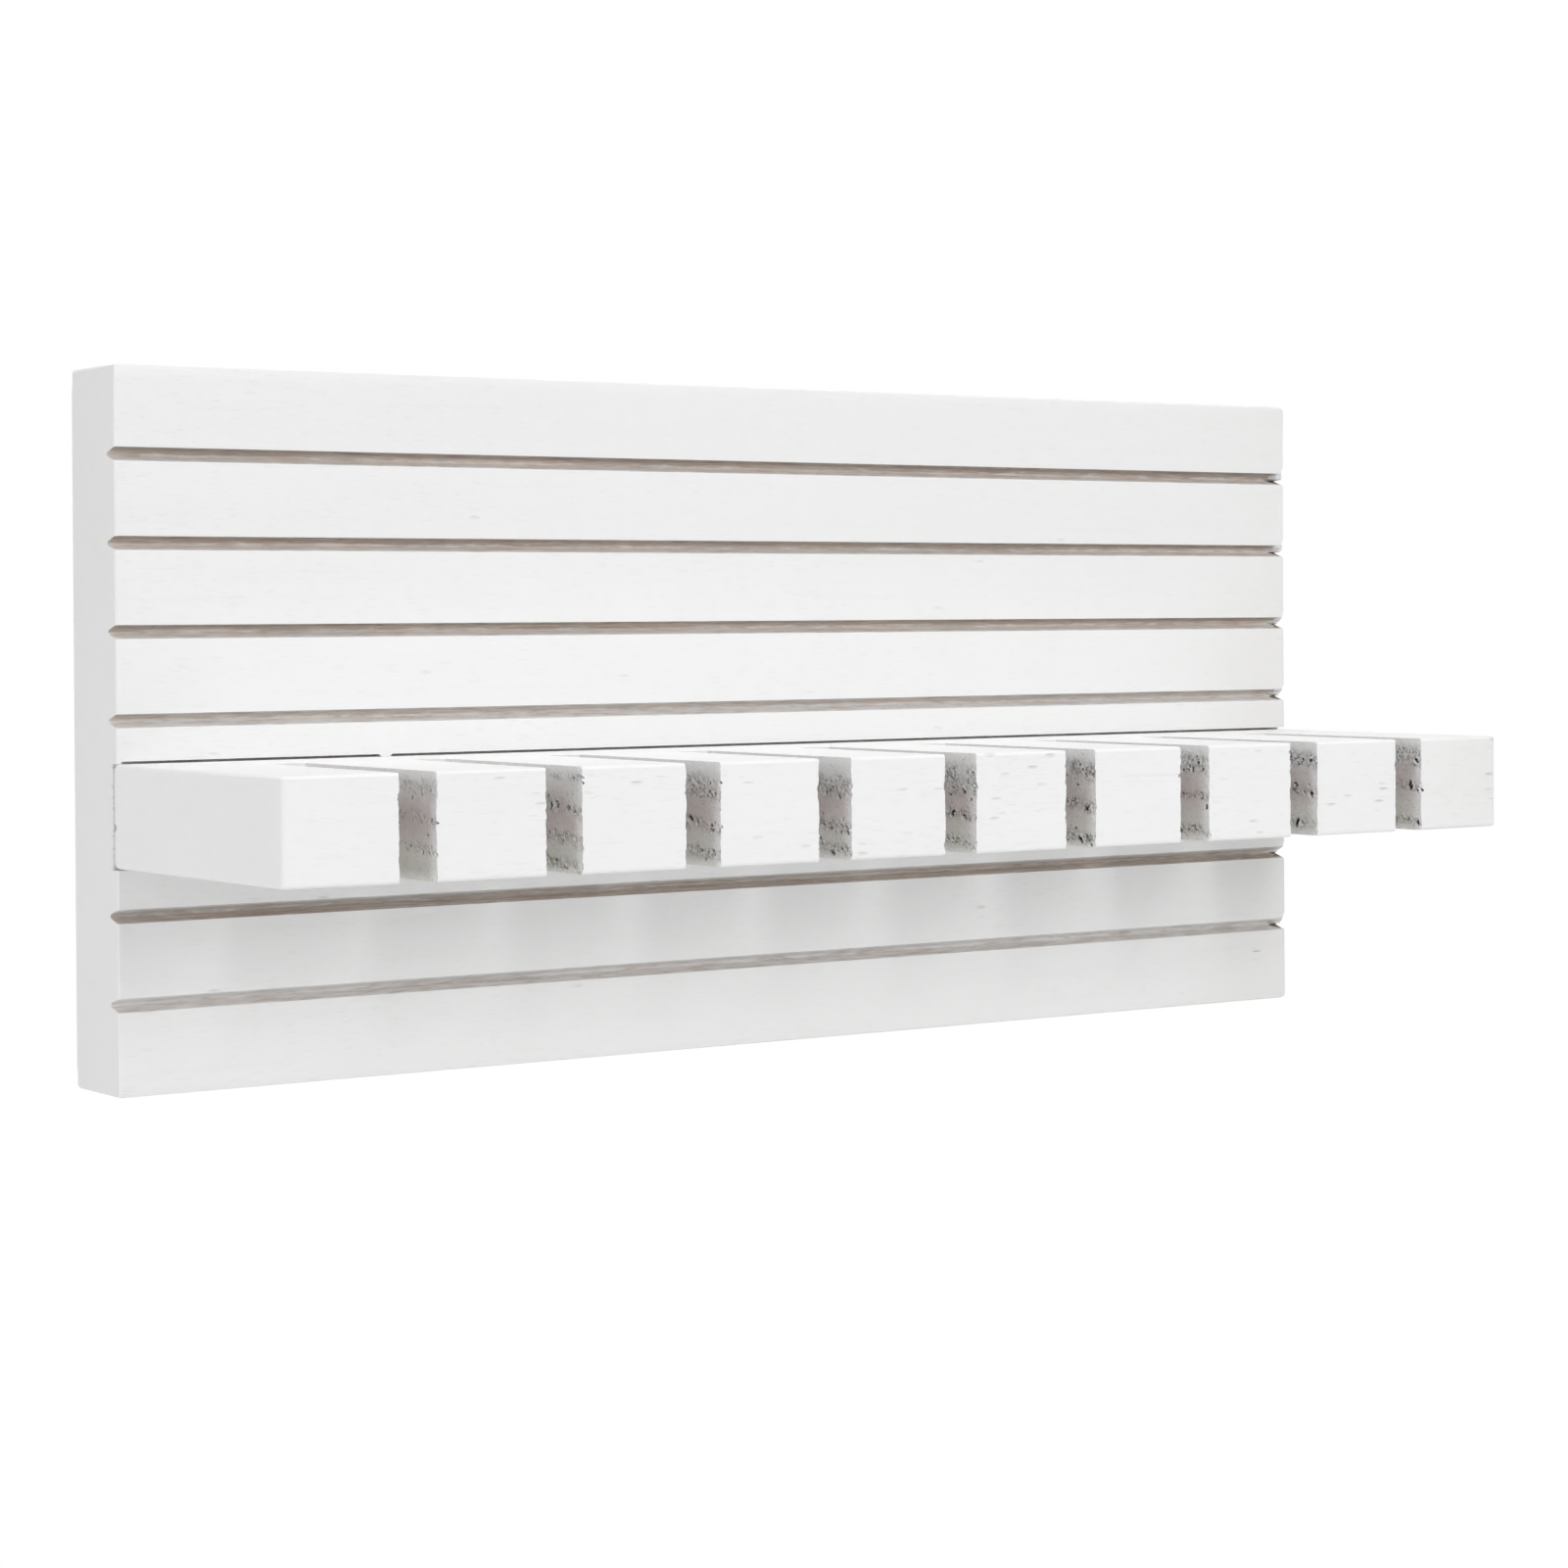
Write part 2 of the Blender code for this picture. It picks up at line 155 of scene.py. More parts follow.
class BeltRackSlots(bpy.types.PropertyGroup):
    """Sizes of the torn end grain in the rail's slots."""

    fine_step: length("Fine step", "Spacing of the points on a slot wall near the front", 0.30)
    fine_reach: length("Fine reach", "How deep into a slot the fine spacing goes", 12.0)
    coarse_step: length("Coarse step", "Widest spacing of the points deep in a slot", 2.2)
    row_step: length("Row step", "Spacing of the points up a slot wall", 0.28)
    pits: count("Pits", "Middling torn pits in each slot wall", 140)
    pores: count("Pores", "Small torn pores in each slot wall", 520)
    pit_depth: length("Pit depth", "Depth of the deepest gouges", 1.0)
    teeth: length("Teeth", "Height of the broken fibres in the torn bands", 0.22)
    flake: length("Flake", "How far the loose flakes beside the pits stand out", 0.15)
    fuzz: length("Fuzz", "Height of the loose fibres on the sawn wall", 0.04)
    ragged: length("Ragged edge", "How far a slot's edge strays from its line", 0.30)
    chip: length("Chip", "Deepest chip out of a slot's edge", 0.4)
    chip_reach: length("Chip reach", "How far a chip runs in from a slot's edge", 1.4)
    easing: length("Easing", "Rounding of the rail's edges in the frame", 0.6)
    end_round: length("End rounding", "Wider rounding of the upright front edges at the rail's ends", 1.25)
    rear_round: length("Rear rounding", "Wider rounding of the rail's long edges in the housing", 1.5)
    joint_chip: length("Joint chip", "Depth of the chip in the rail's edge at the left end of the joint", 0.8)
    seed: count("Seed", "Pattern of the torn grain", 11)


class BeltRackFixings(bpy.types.PropertyGroup):
    """Sizes of the screws and hangers that the frame doesn't give."""

    rail_shank: length("Rail screw shank", "Diameter of a rail screw over its thread", 4.0)
    rail_tip: length("Rail screw tip", "Length of a rail screw's point", 5.0)
    rail_pitch: length("Rail screw pitch", "Rise of a rail screw's thread in one turn", 1.8)
    plate_shank: length("Hanger screw shank", "Diameter of a hanger screw over its thread", 2.6)
    plate_tip: length("Hanger screw tip", "Length of a hanger screw's point", 3.0)
    plate_pitch: length("Hanger screw pitch", "Rise of a hanger screw's thread in one turn", 1.2)
    plate_edge: length("Plate edge", "Rounding of a hanger's stamped edges", 0.18)


class BeltRackStage(bpy.types.PropertyGroup):
    """Camera, floor and lights."""

    eye: place("Camera", "Where the camera stands", (-0.44496, -0.66376, 0.02175))
    tilt: angle("Tilt", "Turn of the camera about X", 89.2228)
    roll: angle("Roll", "Turn of the camera about Y", 0.3092)
    heading: angle("Heading", "Turn of the camera about Z", -34.9612)
    lens: FloatProperty(name="Lens", description="Focal length in millimetres", default=84.057, min=1.0)
    rise: FloatProperty(name="Shift", description="Vertical shift of the picture", default=-0.07698)
    floor_drop: length("Floor drop", "Depth of the floor below the middle of the board", 420.0)
    floor_radius: length("Floor radius", "Radius of the floor", 800.0)
    floor: colour("Floor", "Pale floor", (0.86, 0.86, 0.855))
    ambient: FloatProperty(name="Ambient", description="Strength of the sky light", default=0.3, min=0.0)
    front: power("Front", "Softbox in front, raised and a little to the right", 6.42)
    over: power("Overhead", "Softbox overhead", 5.64)
    left: power("Left", "Softbox square to the left end", 3.2)
    left_front: power("Left front", "Fill from the left of the camera", 1.47)
    right_front: power("Right front", "Fill from the right", 0.38)
    low: power("Low", "Fill from below in front, like light off a pale floor", 1.23)
    back: power("Back", "Softbox behind the wall's place, for the hangers' side", 4.0)


# Selecting and shaping


def select_only(obj):
    """Leave edit mode, and make one object the only selected and the active one."""
    if bpy.context.mode != "OBJECT":
        bpy.ops.object.mode_set(mode="OBJECT")
    bpy.ops.object.select_all(action="DESELECT")
    obj.select_set(True)
    bpy.context.view_layer.objects.active = obj


def edit(obj, kind="VERT"):
    """Enter edit mode on one object with everything in it selected."""
    select_only(obj)
    bpy.ops.object.mode_set(mode="EDIT")
    bpy.ops.mesh.select_mode(type=kind)
    bpy.ops.mesh.select_all(action="SELECT")


def leave_edit():
    bpy.ops.object.mode_set(mode="OBJECT")


def select_where(obj, kind, test):
    """In edit mode, select the faces or edges that pass a test."""
    bpy.ops.mesh.select_mode(type=kind)
    bpy.ops.mesh.select_all(action="DESELECT")
    shape = bmesh.from_edit_mesh(obj.data)
    for part in shape.faces if kind == "FACE" else shape.edges:
        if test(part):
            part.select_set(True)
    bmesh.update_edit_mesh(obj.data)


def link(name, data):
    """A new object in the scene."""
    obj = bpy.data.objects.new(name, data)
    bpy.context.scene.collection.objects.link(obj)
    return obj


def copy_of_node(node, name):
    """A copy of a solid's mesh with its loose triangles merged and its flat faces made whole."""
    piece = link(name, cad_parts[node].data.copy())
    piece.data.materials.clear()
    select_only(piece)
    bpy.ops.mesh.customdata_custom_splitnormals_clear()
    edit(piece)
    bpy.ops.mesh.remove_doubles(threshold=MERGE)
    bpy.ops.mesh.dissolve_limited(angle_limit=FLAT)
    leave_edit()
    return piece


def score(obj, axis, places):
    """Cut every face along planes square to an axis."""
    normal = Vector((0.0, 0.0, 0.0))
    normal[axis] = 1.0
    edit(obj)
    for spot in places:
        bpy.ops.mesh.select_all(action="SELECT")
        bpy.ops.mesh.bisect(plane_co=normal * spot, plane_no=normal, threshold=SNAP)
    leave_edit()


def score_faces(obj, levels, test):
    """Cut the faces that pass a test along level planes."""
    edit(obj, "FACE")
    for level in levels:
        select_where(obj, "FACE", test)
        bpy.ops.mesh.bisect(plane_co=(0, 0, level), plane_no=(0, 0, 1), threshold=SNAP)
    leave_edit()


def points_of(mesh):
    flat = np.empty(len(mesh.vertices) * 3)
    mesh.vertices.foreach_get("co", flat)
    return flat.reshape(-1, 3)


def set_points(mesh, points):
    mesh.vertices.foreach_set("co", points.ravel())
    mesh.update()


def keep_mask(obj, name, values, domain="POINT"):
    """Keep one value for each point or face, for a material to read."""
    layer = obj.data.attributes.new(name, "FLOAT", domain)
    layer.data.foreach_set("value", values.astype(np.float32))


def share_of(values):
    """Values held between nothing and all."""
    return np.clip(values, 0.0, 1.0)


def resize_rounding(points, axes, corner, radius, wanted, share=1.0):
    """Scale the points of a rounded edge about the sharp edge that it came from, towards a wanted radius."""
    offset = points[:, axes] - corner
    rounded = np.flatnonzero((np.abs(offset) < radius + CLOSE).all(axis=1))
    scale = 1.0 + (wanted / radius - 1.0) * np.broadcast_to(share, len(points))[rounded, None]
    points[np.ix_(rounded, axes)] = corner + offset[rounded] * scale


def smooth(obj, degrees):
    select_only(obj)
    bpy.ops.object.shade_smooth_by_angle(angle=math.radians(degrees))


def seat(piece, node):
    """The piece stands for a node and moves with the rack."""
    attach(piece, "root")
    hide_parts(node)


# Torn end grain


def rough(draw, u, v, cell_u, cell_v):
    """Smooth random heights from -1 to 1 over a plane, with bumps about one cell apart."""
    s = (u - u.min()) / cell_u
    t = (v - v.min()) / cell_v
    heights = draw.uniform(-1.0, 1.0, (int(s.max()) + 2, int(t.max()) + 2))
    i = s.astype(int)
    j = t.astype(int)
    s = s - i
    t = t - j
    s = s * s * (3 - 2 * s)
    t = t * t * (3 - 2 * t)
    near = heights[i, j] * (1 - t) + heights[i, j + 1] * t
    far = heights[i + 1, j] * (1 - t) + heights[i + 1, j + 1] * t
    return near * (1 - s) + far * s


# What tore in each block, from the left slot to the right one, in millimetres: how badly, the growth rings
# that tear (distance below the rail's top at its front, half width, share of the pits) and the large gouges
# (distance into the slot, distance below the top, half length)
TORN_BLOCKS = (
    (0.45, ((3.6, 0.9, 0.4), (9.0, 0.6, 0.3), (14.6, 0.5, 0.3)), ((5.2, 4.0, 0.8), (5.0, 14.8, 0.5))),
    (
        0.70, ((2.2, 0.8, 0.25), (8.4, 0.8, 0.35), (14.2, 0.8, 0.2), (19.0, 0.7, 0.2)),
        ((4.4, 7.4, 0.6), (8.5, 7.4, 0.9), (10.9, 7.6, 0.8), (6.0, 18.6, 0.6)),
    ),
    (
        0.80, ((5.4, 1.3, 0.5), (12.6, 0.7, 0.28), (17.8, 0.7, 0.18)),
        ((3.8, 6.2, 0.7), (3.0, 12.3, 0.7), (10.0, 11.0, 0.8), (3.8, 17.8, 0.7)),
    ),
    (
        0.85, ((6.6, 1.2, 0.5), (14.0, 0.7, 0.28), (18.4, 0.7, 0.18)),
        ((1.3, 14.3, 0.9), (4.0, 7.6, 0.7), (8.2, 7.2, 0.6), (6.3, 18.7, 0.8)),
    ),
    (
        0.90, ((6.2, 1.7, 0.48), (13.0, 0.6, 0.28), (18.4, 0.7, 0.18)),
        ((4.1, 7.5, 0.8), (6.9, 4.4, 0.5), (3.8, 12.8, 0.7), (7.8, 12.2, 0.5)),
    ),
    (
        0.90, ((4.5, 1.2, 0.42), (11.8, 0.8, 0.3), (18.4, 0.7, 0.18)),
        ((4.8, 18.5, 1.0), (3.0, 12.0, 0.7), (6.4, 10.6, 0.6), (5.0, 3.2, 0.5)),
    ),
    (
        0.85, ((4.2, 1.1, 0.48), (11.0, 0.5, 0.2), (18.2, 0.7, 0.22)),
        ((3.4, 3.4, 0.6), (4.9, 5.2, 0.7), (0.8, 12.8, 0.6), (4.2, 17.4, 0.6)),
    ),
    (
        0.80, ((4.2, 1.0, 0.5), (10.8, 0.7, 0.28), (17.9, 0.7, 0.18)),
        ((6.3, 17.4, 1.1), (6.6, 9.2, 0.6), (1.8, 11.2, 0.8), (5.8, 4.6, 0.6)),
    ),
    (
        0.80, ((4.0, 1.3, 0.55), (10.6, 0.6, 0.25), (18.3, 0.6, 0.2)),
        ((3.2, 10.2, 1.1), (1.4, 4.8, 0.7), (1.0, 18.4, 0.6)),
    ),
)
# How steeply the growth rings rise into the slot, and how fast that eases off
RING_RISE = 0.13
RING_CURVE = 2.4
# Share of the pits that lie outside the rings that tear
STRAY_PITS = 0.12
# Slant of the pits in degrees, and its spread
PIT_LEAN = 30.0
LEAN_SPREAD = 20.0
# How far beside a pit its flake lies, in half widths of the pit
FLAKE_OFFSET = 1.8
# Half lengths and half widths in millimetres, and shares of the full depth, of the pits and of the pores
PIT_KIND = ((0.30, 0.58), (0.18, 0.30), (0.35, 0.7))
PORE_KIND = ((0.20, 0.38), (0.16, 0.26), (0.15, 0.35))
# Length and width of a gouge, from its half length
GOUGE_LONG = 1.2
GOUGE_WIDE = 0.46
# Distances between the bumps on a slot wall, into the slot and down: of the patches in the torn bands, of the
# broken fibres, of the loose fibres and of the wall's own unevenness
PATCH_CELL = (2.2 * MM, 1.6 * MM)
TEETH_CELL = (0.5 * MM, 0.95 * MM)
FUZZ_CELL = (0.7 * MM, 0.9 * MM)
UNEVEN_CELL = (2.4 * MM, 2.4 * MM)
# Length of the rings' waves, and their height in millimetres
RING_WAVE = 2.6 * MM
RING_HEIGHT = 0.45
# Lengths of the waves, nicks and chips along a slot's edge
EDGE_WAVE = 2.6 * MM
EDGE_NICK = 0.8 * MM
EDGE_CHIP = 1.1 * MM
# How far the broken fibres lean into the slot for each step down
FIBRE_LEAN = 0.35
# Sound wood under the rail's top, how much more of it there is deeper in the slot, and where tearing is full
SOUND_TOP = 0.5 * MM
SOUND_RISE = 0.06
SOUND_FADE = 1.0 * MM
# Distance from the slot's end over which tearing fades away
END_FADE = 1.5 * MM


def ring_rise(into):
    """How much higher a growth ring lies at a depth into the slot than at the front."""
    return RING_RISE * into - RING_CURVE * into * into


def torn_places(draw, number, reach, height, rings):
    """Seeded places of pits on a wall, most of them in the rings that tear."""
    into = draw.uniform(0.0, reach, number)
    shares = np.array([ring[2] for ring in rings])
    chosen = draw.choice(len(rings), number, p=shares / shares.sum())
    centres = np.array([ring[0] * MM for ring in rings])[chosen]
    widths = np.array([ring[1] * MM for ring in rings])[chosen]
    below = centres + draw.normal(0.0, 1.0, number) * widths - ring_rise(into)
    stray = draw.uniform(0.0, 1.0, number) < STRAY_PITS
    return into, np.where(stray, draw.uniform(0.0, height, number), below)


def open_grain(draw, into, below, rings):
    """How far each point of a wall lies inside the rings that tear, from 0 to 1."""
    wobble = rough(draw, into, into, RING_WAVE, 1.0) * RING_HEIGHT * MM
    share = np.zeros_like(into)
    for centre, half_width, _ in rings:
        away = np.abs(below + ring_rise(into) - centre * MM - wobble) / (1.5 * half_width * MM)
        share = np.maximum(share, share_of(1.5 - away))
    return share * share_of(0.75 + 0.6 * rough(draw, into, below, *PATCH_CELL))


def pit_field(draw, into, below, places, half_lengths, half_widths, depths):
    """The deepest of many slanted oval pits at each point of a wall, and the loose flakes beside them."""
    torn = np.zeros_like(into)
    flakes = np.zeros_like(into)
    lean = np.radians(draw.normal(PIT_LEAN, LEAN_SPREAD, len(half_lengths)))
    for k, turn in enumerate(lean):
        du = into - places[0][k]
        dv = below - places[1][k]
        along = dv * math.cos(turn) - du * math.sin(turn)
        across = dv * math.sin(turn) + du * math.cos(turn)
        away = (along / half_lengths[k]) ** 2 + (across / half_widths[k]) ** 2
        torn = np.maximum(torn, depths[k] * share_of(1.0 - away) ** 0.7)
        beside = across - (FLAKE_OFFSET if k % 3 else -FLAKE_OFFSET) * half_widths[k]
        away = (along / half_lengths[k]) ** 2 + (beside / half_widths[k]) ** 2
        flakes = np.maximum(flakes, share_of(1.0 - away))
    return torn, flakes


def chipped_edge(draw, along, away, bands, sizes):
    """Depth of the nicks and chips in from one edge of a wall, worst where the bands reach it."""
    fade = share_of(1.0 - away / sizes.chip_reach) ** 1.5
    still = np.zeros_like(along)
    wander = 0.5 + 0.5 * rough(draw, along, still, EDGE_WAVE, 1.0)
    wander = (0.6 * wander + 0.4 * np.abs(rough(draw, along, still, EDGE_NICK, 1.0))) * sizes.ragged
    chips = np.clip(rough(draw, along, still, EDGE_CHIP, 1.0) - 0.1, 0.0, 0.6) / 0.6 * sizes.chip
    return fade * (wander + chips * (0.1 + 0.9 * bands))


def tear_wall(draw, into, below, sizes, block):
    """How far each point of a slot wall moves in, how torn it is, its open grain and its flakes."""
    badly, rings, gouges = block
    reach = into.max()
    height = RAIL_HIGH.z - RAIL_LOW.z
    clear_of_top = share_of((below - SOUND_TOP - SOUND_RISE * into) / SOUND_FADE)
    bands = open_grain(draw, into, below, rings) * badly * clear_of_top
    fields = []
    for most, (half_lengths, half_widths, depths) in ((sizes.pits, PIT_KIND), (sizes.pores, PORE_KIND)):
        number = int(most * badly)
        places = torn_places(draw, number, reach, height, rings)
        fields.append(pit_field(
            draw, into, below, places, draw.uniform(*half_lengths, number) * MM,
            draw.uniform(*half_widths, number) * MM, draw.uniform(*depths, number) * sizes.pit_depth,
        ))
    large = np.array(gouges) * MM
    depths = np.full(len(large), min(1.0, 0.4 + 0.6 * badly) * sizes.pit_depth)
    long, wide = GOUGE_LONG * large[:, 2], GOUGE_WIDE * large[:, 2]
    fields.append(pit_field(draw, into, below, (large[:, 0], large[:, 1]), long, wide, depths))
    pits, pores, cuts = fields
    torn = np.maximum(np.maximum(pits[0], pores[0]), cuts[0])
    flakes = np.maximum(pits[1], cuts[1]) * share_of(1.0 - 5.0 * torn / sizes.pit_depth)
    torn = torn * clear_of_top
    leaning = into + FIBRE_LEAN * below
    teeth = rough(draw, leaning, below, *TEETH_CELL)
    fuzz = rough(draw, leaning, below, *FUZZ_CELL)
    fuzz = fuzz + 0.6 * rough(draw, into, below, *UNEVEN_CELL)
    moved = torn - fuzz * sizes.fuzz - teeth * bands * sizes.teeth - flakes * sizes.flake
    edges = chipped_edge(draw, below, into, bands, sizes)
    edges = edges + 0.3 * chipped_edge(draw, into, np.minimum(below, height - below), 0.25 * bands, sizes)
    corner_fade = share_of((reach - into) / END_FADE)
    return (moved + edges) * corner_fade, torn * corner_fade, bands, flakes * corner_fade


def graded_steps(sizes, end):
    """Depths into a slot at which its walls are scored, fine near the front and wider behind."""
    widening = 1.12
    steps = []
    into = step = sizes.fine_step
    while into < end - step:
        steps.append(into)
        if into > sizes.fine_reach:
            step = min(step * widening, sizes.coarse_step)
        into += step
    return steps


class BELTRACK_OT_belt_rail(bpy.types.Operator):
    """Score the rail's slot walls, tear their end grain and paint the rest"""

    bl_idname = "beltrack.belt_rail"
    bl_label = "Belt Rail"

    def execute(self, context):
        sizes = context.scene.belt_rack_slots
        wood_behind = 15 * MM
        rail = copy_of_node("belt_rail", "slotted_rail")
        slot_end = max(v.co.y for v in rail.data.vertices if v.co.y < RAIL_HIGH.y - wood_behind)
        self.round_ends(rail.data, sizes)
        score(rail, 2, np.arange(RAIL_LOW.z + sizes.row_step, RAIL_HIGH.z - MARGIN, sizes.row_step))
        score(rail, 1, [RAIL_LOW.y + into for into in graded_steps(sizes, slot_end - RAIL_LOW.y)])
        self.plain_ends(rail)
        self.chip_joint(rail.data, sizes)
        finish = context.scene.belt_rack_finish
        painted = painted_material(
            "rail_paint", finish, finish.rail_paint, pore_limit=0.72, nick_limit=0.45, dent_shade_share=0.22
        )
        rail.data.materials.append(painted)
        rail.data.materials.append(sawn_material(finish))
        self.tear(rail, sizes, slot_end)
        smooth(rail, 38.0)
        seat(rail, "belt_rail")
        return {"FINISHED"}

    def round_ends(self, mesh, sizes):
        """Widen the eased edges at the front of both ends and the long ones in the housing."""
        points = points_of(mesh)
        for x in (RAIL_LOW.x, RAIL_HIGH.x):
            resize_rounding(points, [0, 1], (x, RAIL_LOW.y), sizes.easing, sizes.end_round)
        for z in (RAIL_LOW.z, RAIL_HIGH.z):
            resize_rounding(points, [1, 2], (RAIL_HIGH.y, z), sizes.easing, sizes.rear_round)
        set_points(mesh, points)

    def plain_ends(self, rail):
        """Take the score marks off the rail's two flat ends."""
        edit(rail, "FACE")
        select_where(rail, "FACE", lambda face: abs(face.calc_center_median().x) > RAIL_HIGH.x - CLOSE)
        bpy.ops.mesh.dissolve_limited(angle_limit=FLAT, delimit=set())
        leave_edit()

    def chip_joint(self, mesh, sizes):
        """A chip in the rail's edge where its left end meets the board."""
        below_top = 12.1 * MM
        half_height = 0.8 * MM
        reach = 1.0 * MM
        points = points_of(mesh)
        near = points[:, 0] < RAIL_LOW.x + reach
        near &= points[:, 1] > RAIL_HIGH.y - sizes.rear_round - MARGIN
        away = (points[:, 2] - RAIL_HIGH.z + below_top) / half_height
        points[near, 1] -= (sizes.joint_chip * share_of(1.0 - away * away))[near]
        set_points(mesh, points)

    def tear(self, rail, sizes, slot_end):
        """Find the slot walls, give them the sawn finish and tear each as its block was torn."""
        mesh = rail.data
        points = points_of(mesh)
        walls = {}
        for face in mesh.polygons:
            middle = face.center
            inside = abs(middle.x) < RAIL_HIGH.x - MARGIN and middle.y < slot_end + CLOSE
            if inside and abs(face.normal.x) > SQUARE:
                face.material_index = 1
                key = (round(middle.x / MM, 2), 1 if face.normal.x > 0 else -1)
                walls.setdefault(key, set()).update(face.vertices)
            elif inside and face.normal.y < -SQUARE and middle.y > slot_end - CLOSE:
                face.material_index = 1
        if len(walls) != 2 * len(TORN_BLOCKS):
            raise RuntimeError("the rail doesn't have the slot walls that the torn blocks are for")
        masks = {name: np.zeros(len(points)) for name in ("torn", "open_grain", "flake")}
        moved = points.copy()
        for number, (x, facing) in enumerate(sorted(walls)):
            members = np.array(sorted(walls[x, facing]))
            draw = np.random.default_rng(sizes.seed + 2 * number)
            into = points[members, 1] - RAIL_LOW.y
            below = RAIL_HIGH.z - points[members, 2]
            shift, torn, bands, flakes = tear_wall(draw, into, below, sizes, TORN_BLOCKS[number // 2])
            moved[members, 0] -= facing * shift
            masks["torn"][members] = torn / sizes.pit_depth
            masks["open_grain"][members] = bands
            masks["flake"][members] = flakes
        set_points(mesh, moved)
        # Masks for the material, which paints shade into the torn pits and highlights onto the flakes
        for name, values in masks.items():
            keep_mask(rail, name, values)


# The grooved board

# How full of torn fibre the right end of each groove is, from the top groove down
PLUG_SHARES = (0.92, 0.85, 0.45, 0.55, 0.35, 0.55)
# Half width of a groove's mouth, and of the part of it that the torn fibre fills
GROOVE_HALF = 1.35 * MM
PLUG_HALF = 1.5 * MM
# Places of the cuts across a worn corner, as shares of its rounding
WORN_CUTS = np.array((0.08, 0.2, 0.4, 0.65, 1.0))
# Least and most rounding of a worn corner, as shares of the usual one, and how much of it shows at the groove
WORN_RANGE = (0.7, 1.15)
WORN_SHARE = 0.5
# How far behind the board's face its strips are worn, and the part of its back that isn't cut for that
WORN_DEPTH = 8 * MM
UNWORN_BACK = 4 * MM
# Lowest and highest cut across the torn fibre, from the groove's middle
PLUG_CUTS = (-1.2 * MM, 1.3 * MM)
# Least distance between two grooves, and from a groove to the board's top or bottom
GROOVE_APART = 5 * MM
GROOVE_INSET = 3 * MM
# How far behind the board's face the middles of a groove's faces lie, and at least its bottom
GROOVE_SHALLOW = 0.3 * MM
GROOVE_DEEP = 4.5 * MM
GROOVE_BOTTOM = 3.0 * MM
# How far the housing's floor and sides may lie from the rail's box
HOUSING_MARGIN = 1.0 * MM
# Least length of a groove's lip, and of the housing's upright edge
LIP_LENGTH = 200 * MM
MOUTH_HEIGHT = 10 * MM


def groove_lip(edge):
    """True for a long edge at a groove's mouth."""
    a, b = (vert.co for vert in edge.verts)
    on_face = abs(a.y - BOARD_LOW.y) < TOUCH and abs(b.y - BOARD_LOW.y) < TOUCH
    along = abs(a.z - b.z) < TOUCH and abs(a.x - b.x) > LIP_LENGTH
    flanks = [face for face in edge.link_faces if abs(face.normal.z) > TURNED]
    return on_face and along and len(flanks) == 1


def on_housing_floor(y):
    return RAIL_HIGH.y < y < RAIL_HIGH.y + HOUSING_MARGIN


def housing_mouth(edge):
    """True for an upright edge where the housing's floor meets an end of the board."""
    a, b = (vert.co for vert in edge.verts)
    at_end = min(abs(a.x), abs(b.x)) > BOARD_HIGH.x - TOUCH
    return at_end and on_housing_floor(a.y) and on_housing_floor(b.y) and abs(a.z - b.z) > MOUTH_HEIGHT


def in_housing(z):
    return RAIL_LOW.z - HOUSING_MARGIN < z < RAIL_HIGH.z + HOUSING_MARGIN


def groove_faces(mesh):
    """Faces of the V grooves, without the housing that takes the rail."""
    found = set()
    for face in mesh.polygons:
        inside = BOARD_LOW.y + GROOVE_SHALLOW < face.center.y < BOARD_LOW.y + GROOVE_DEEP
        not_edge = abs(face.center.z) < BOARD_HIGH.z - GROOVE_INSET and abs(face.normal.x) < TURNED
        slanted = abs(face.normal.z) > TURNED or face.normal.y < -TURNED
        if inside and not_edge and slanted and not in_housing(face.center.z):
            found.add(face.index)
    return found


def groove_points(mesh):
    """True for each point of a V groove."""
    found = np.zeros(len(mesh.vertices), bool)
    for index in groove_faces(mesh):
        found[list(mesh.polygons[index].vertices)] = True
    return found


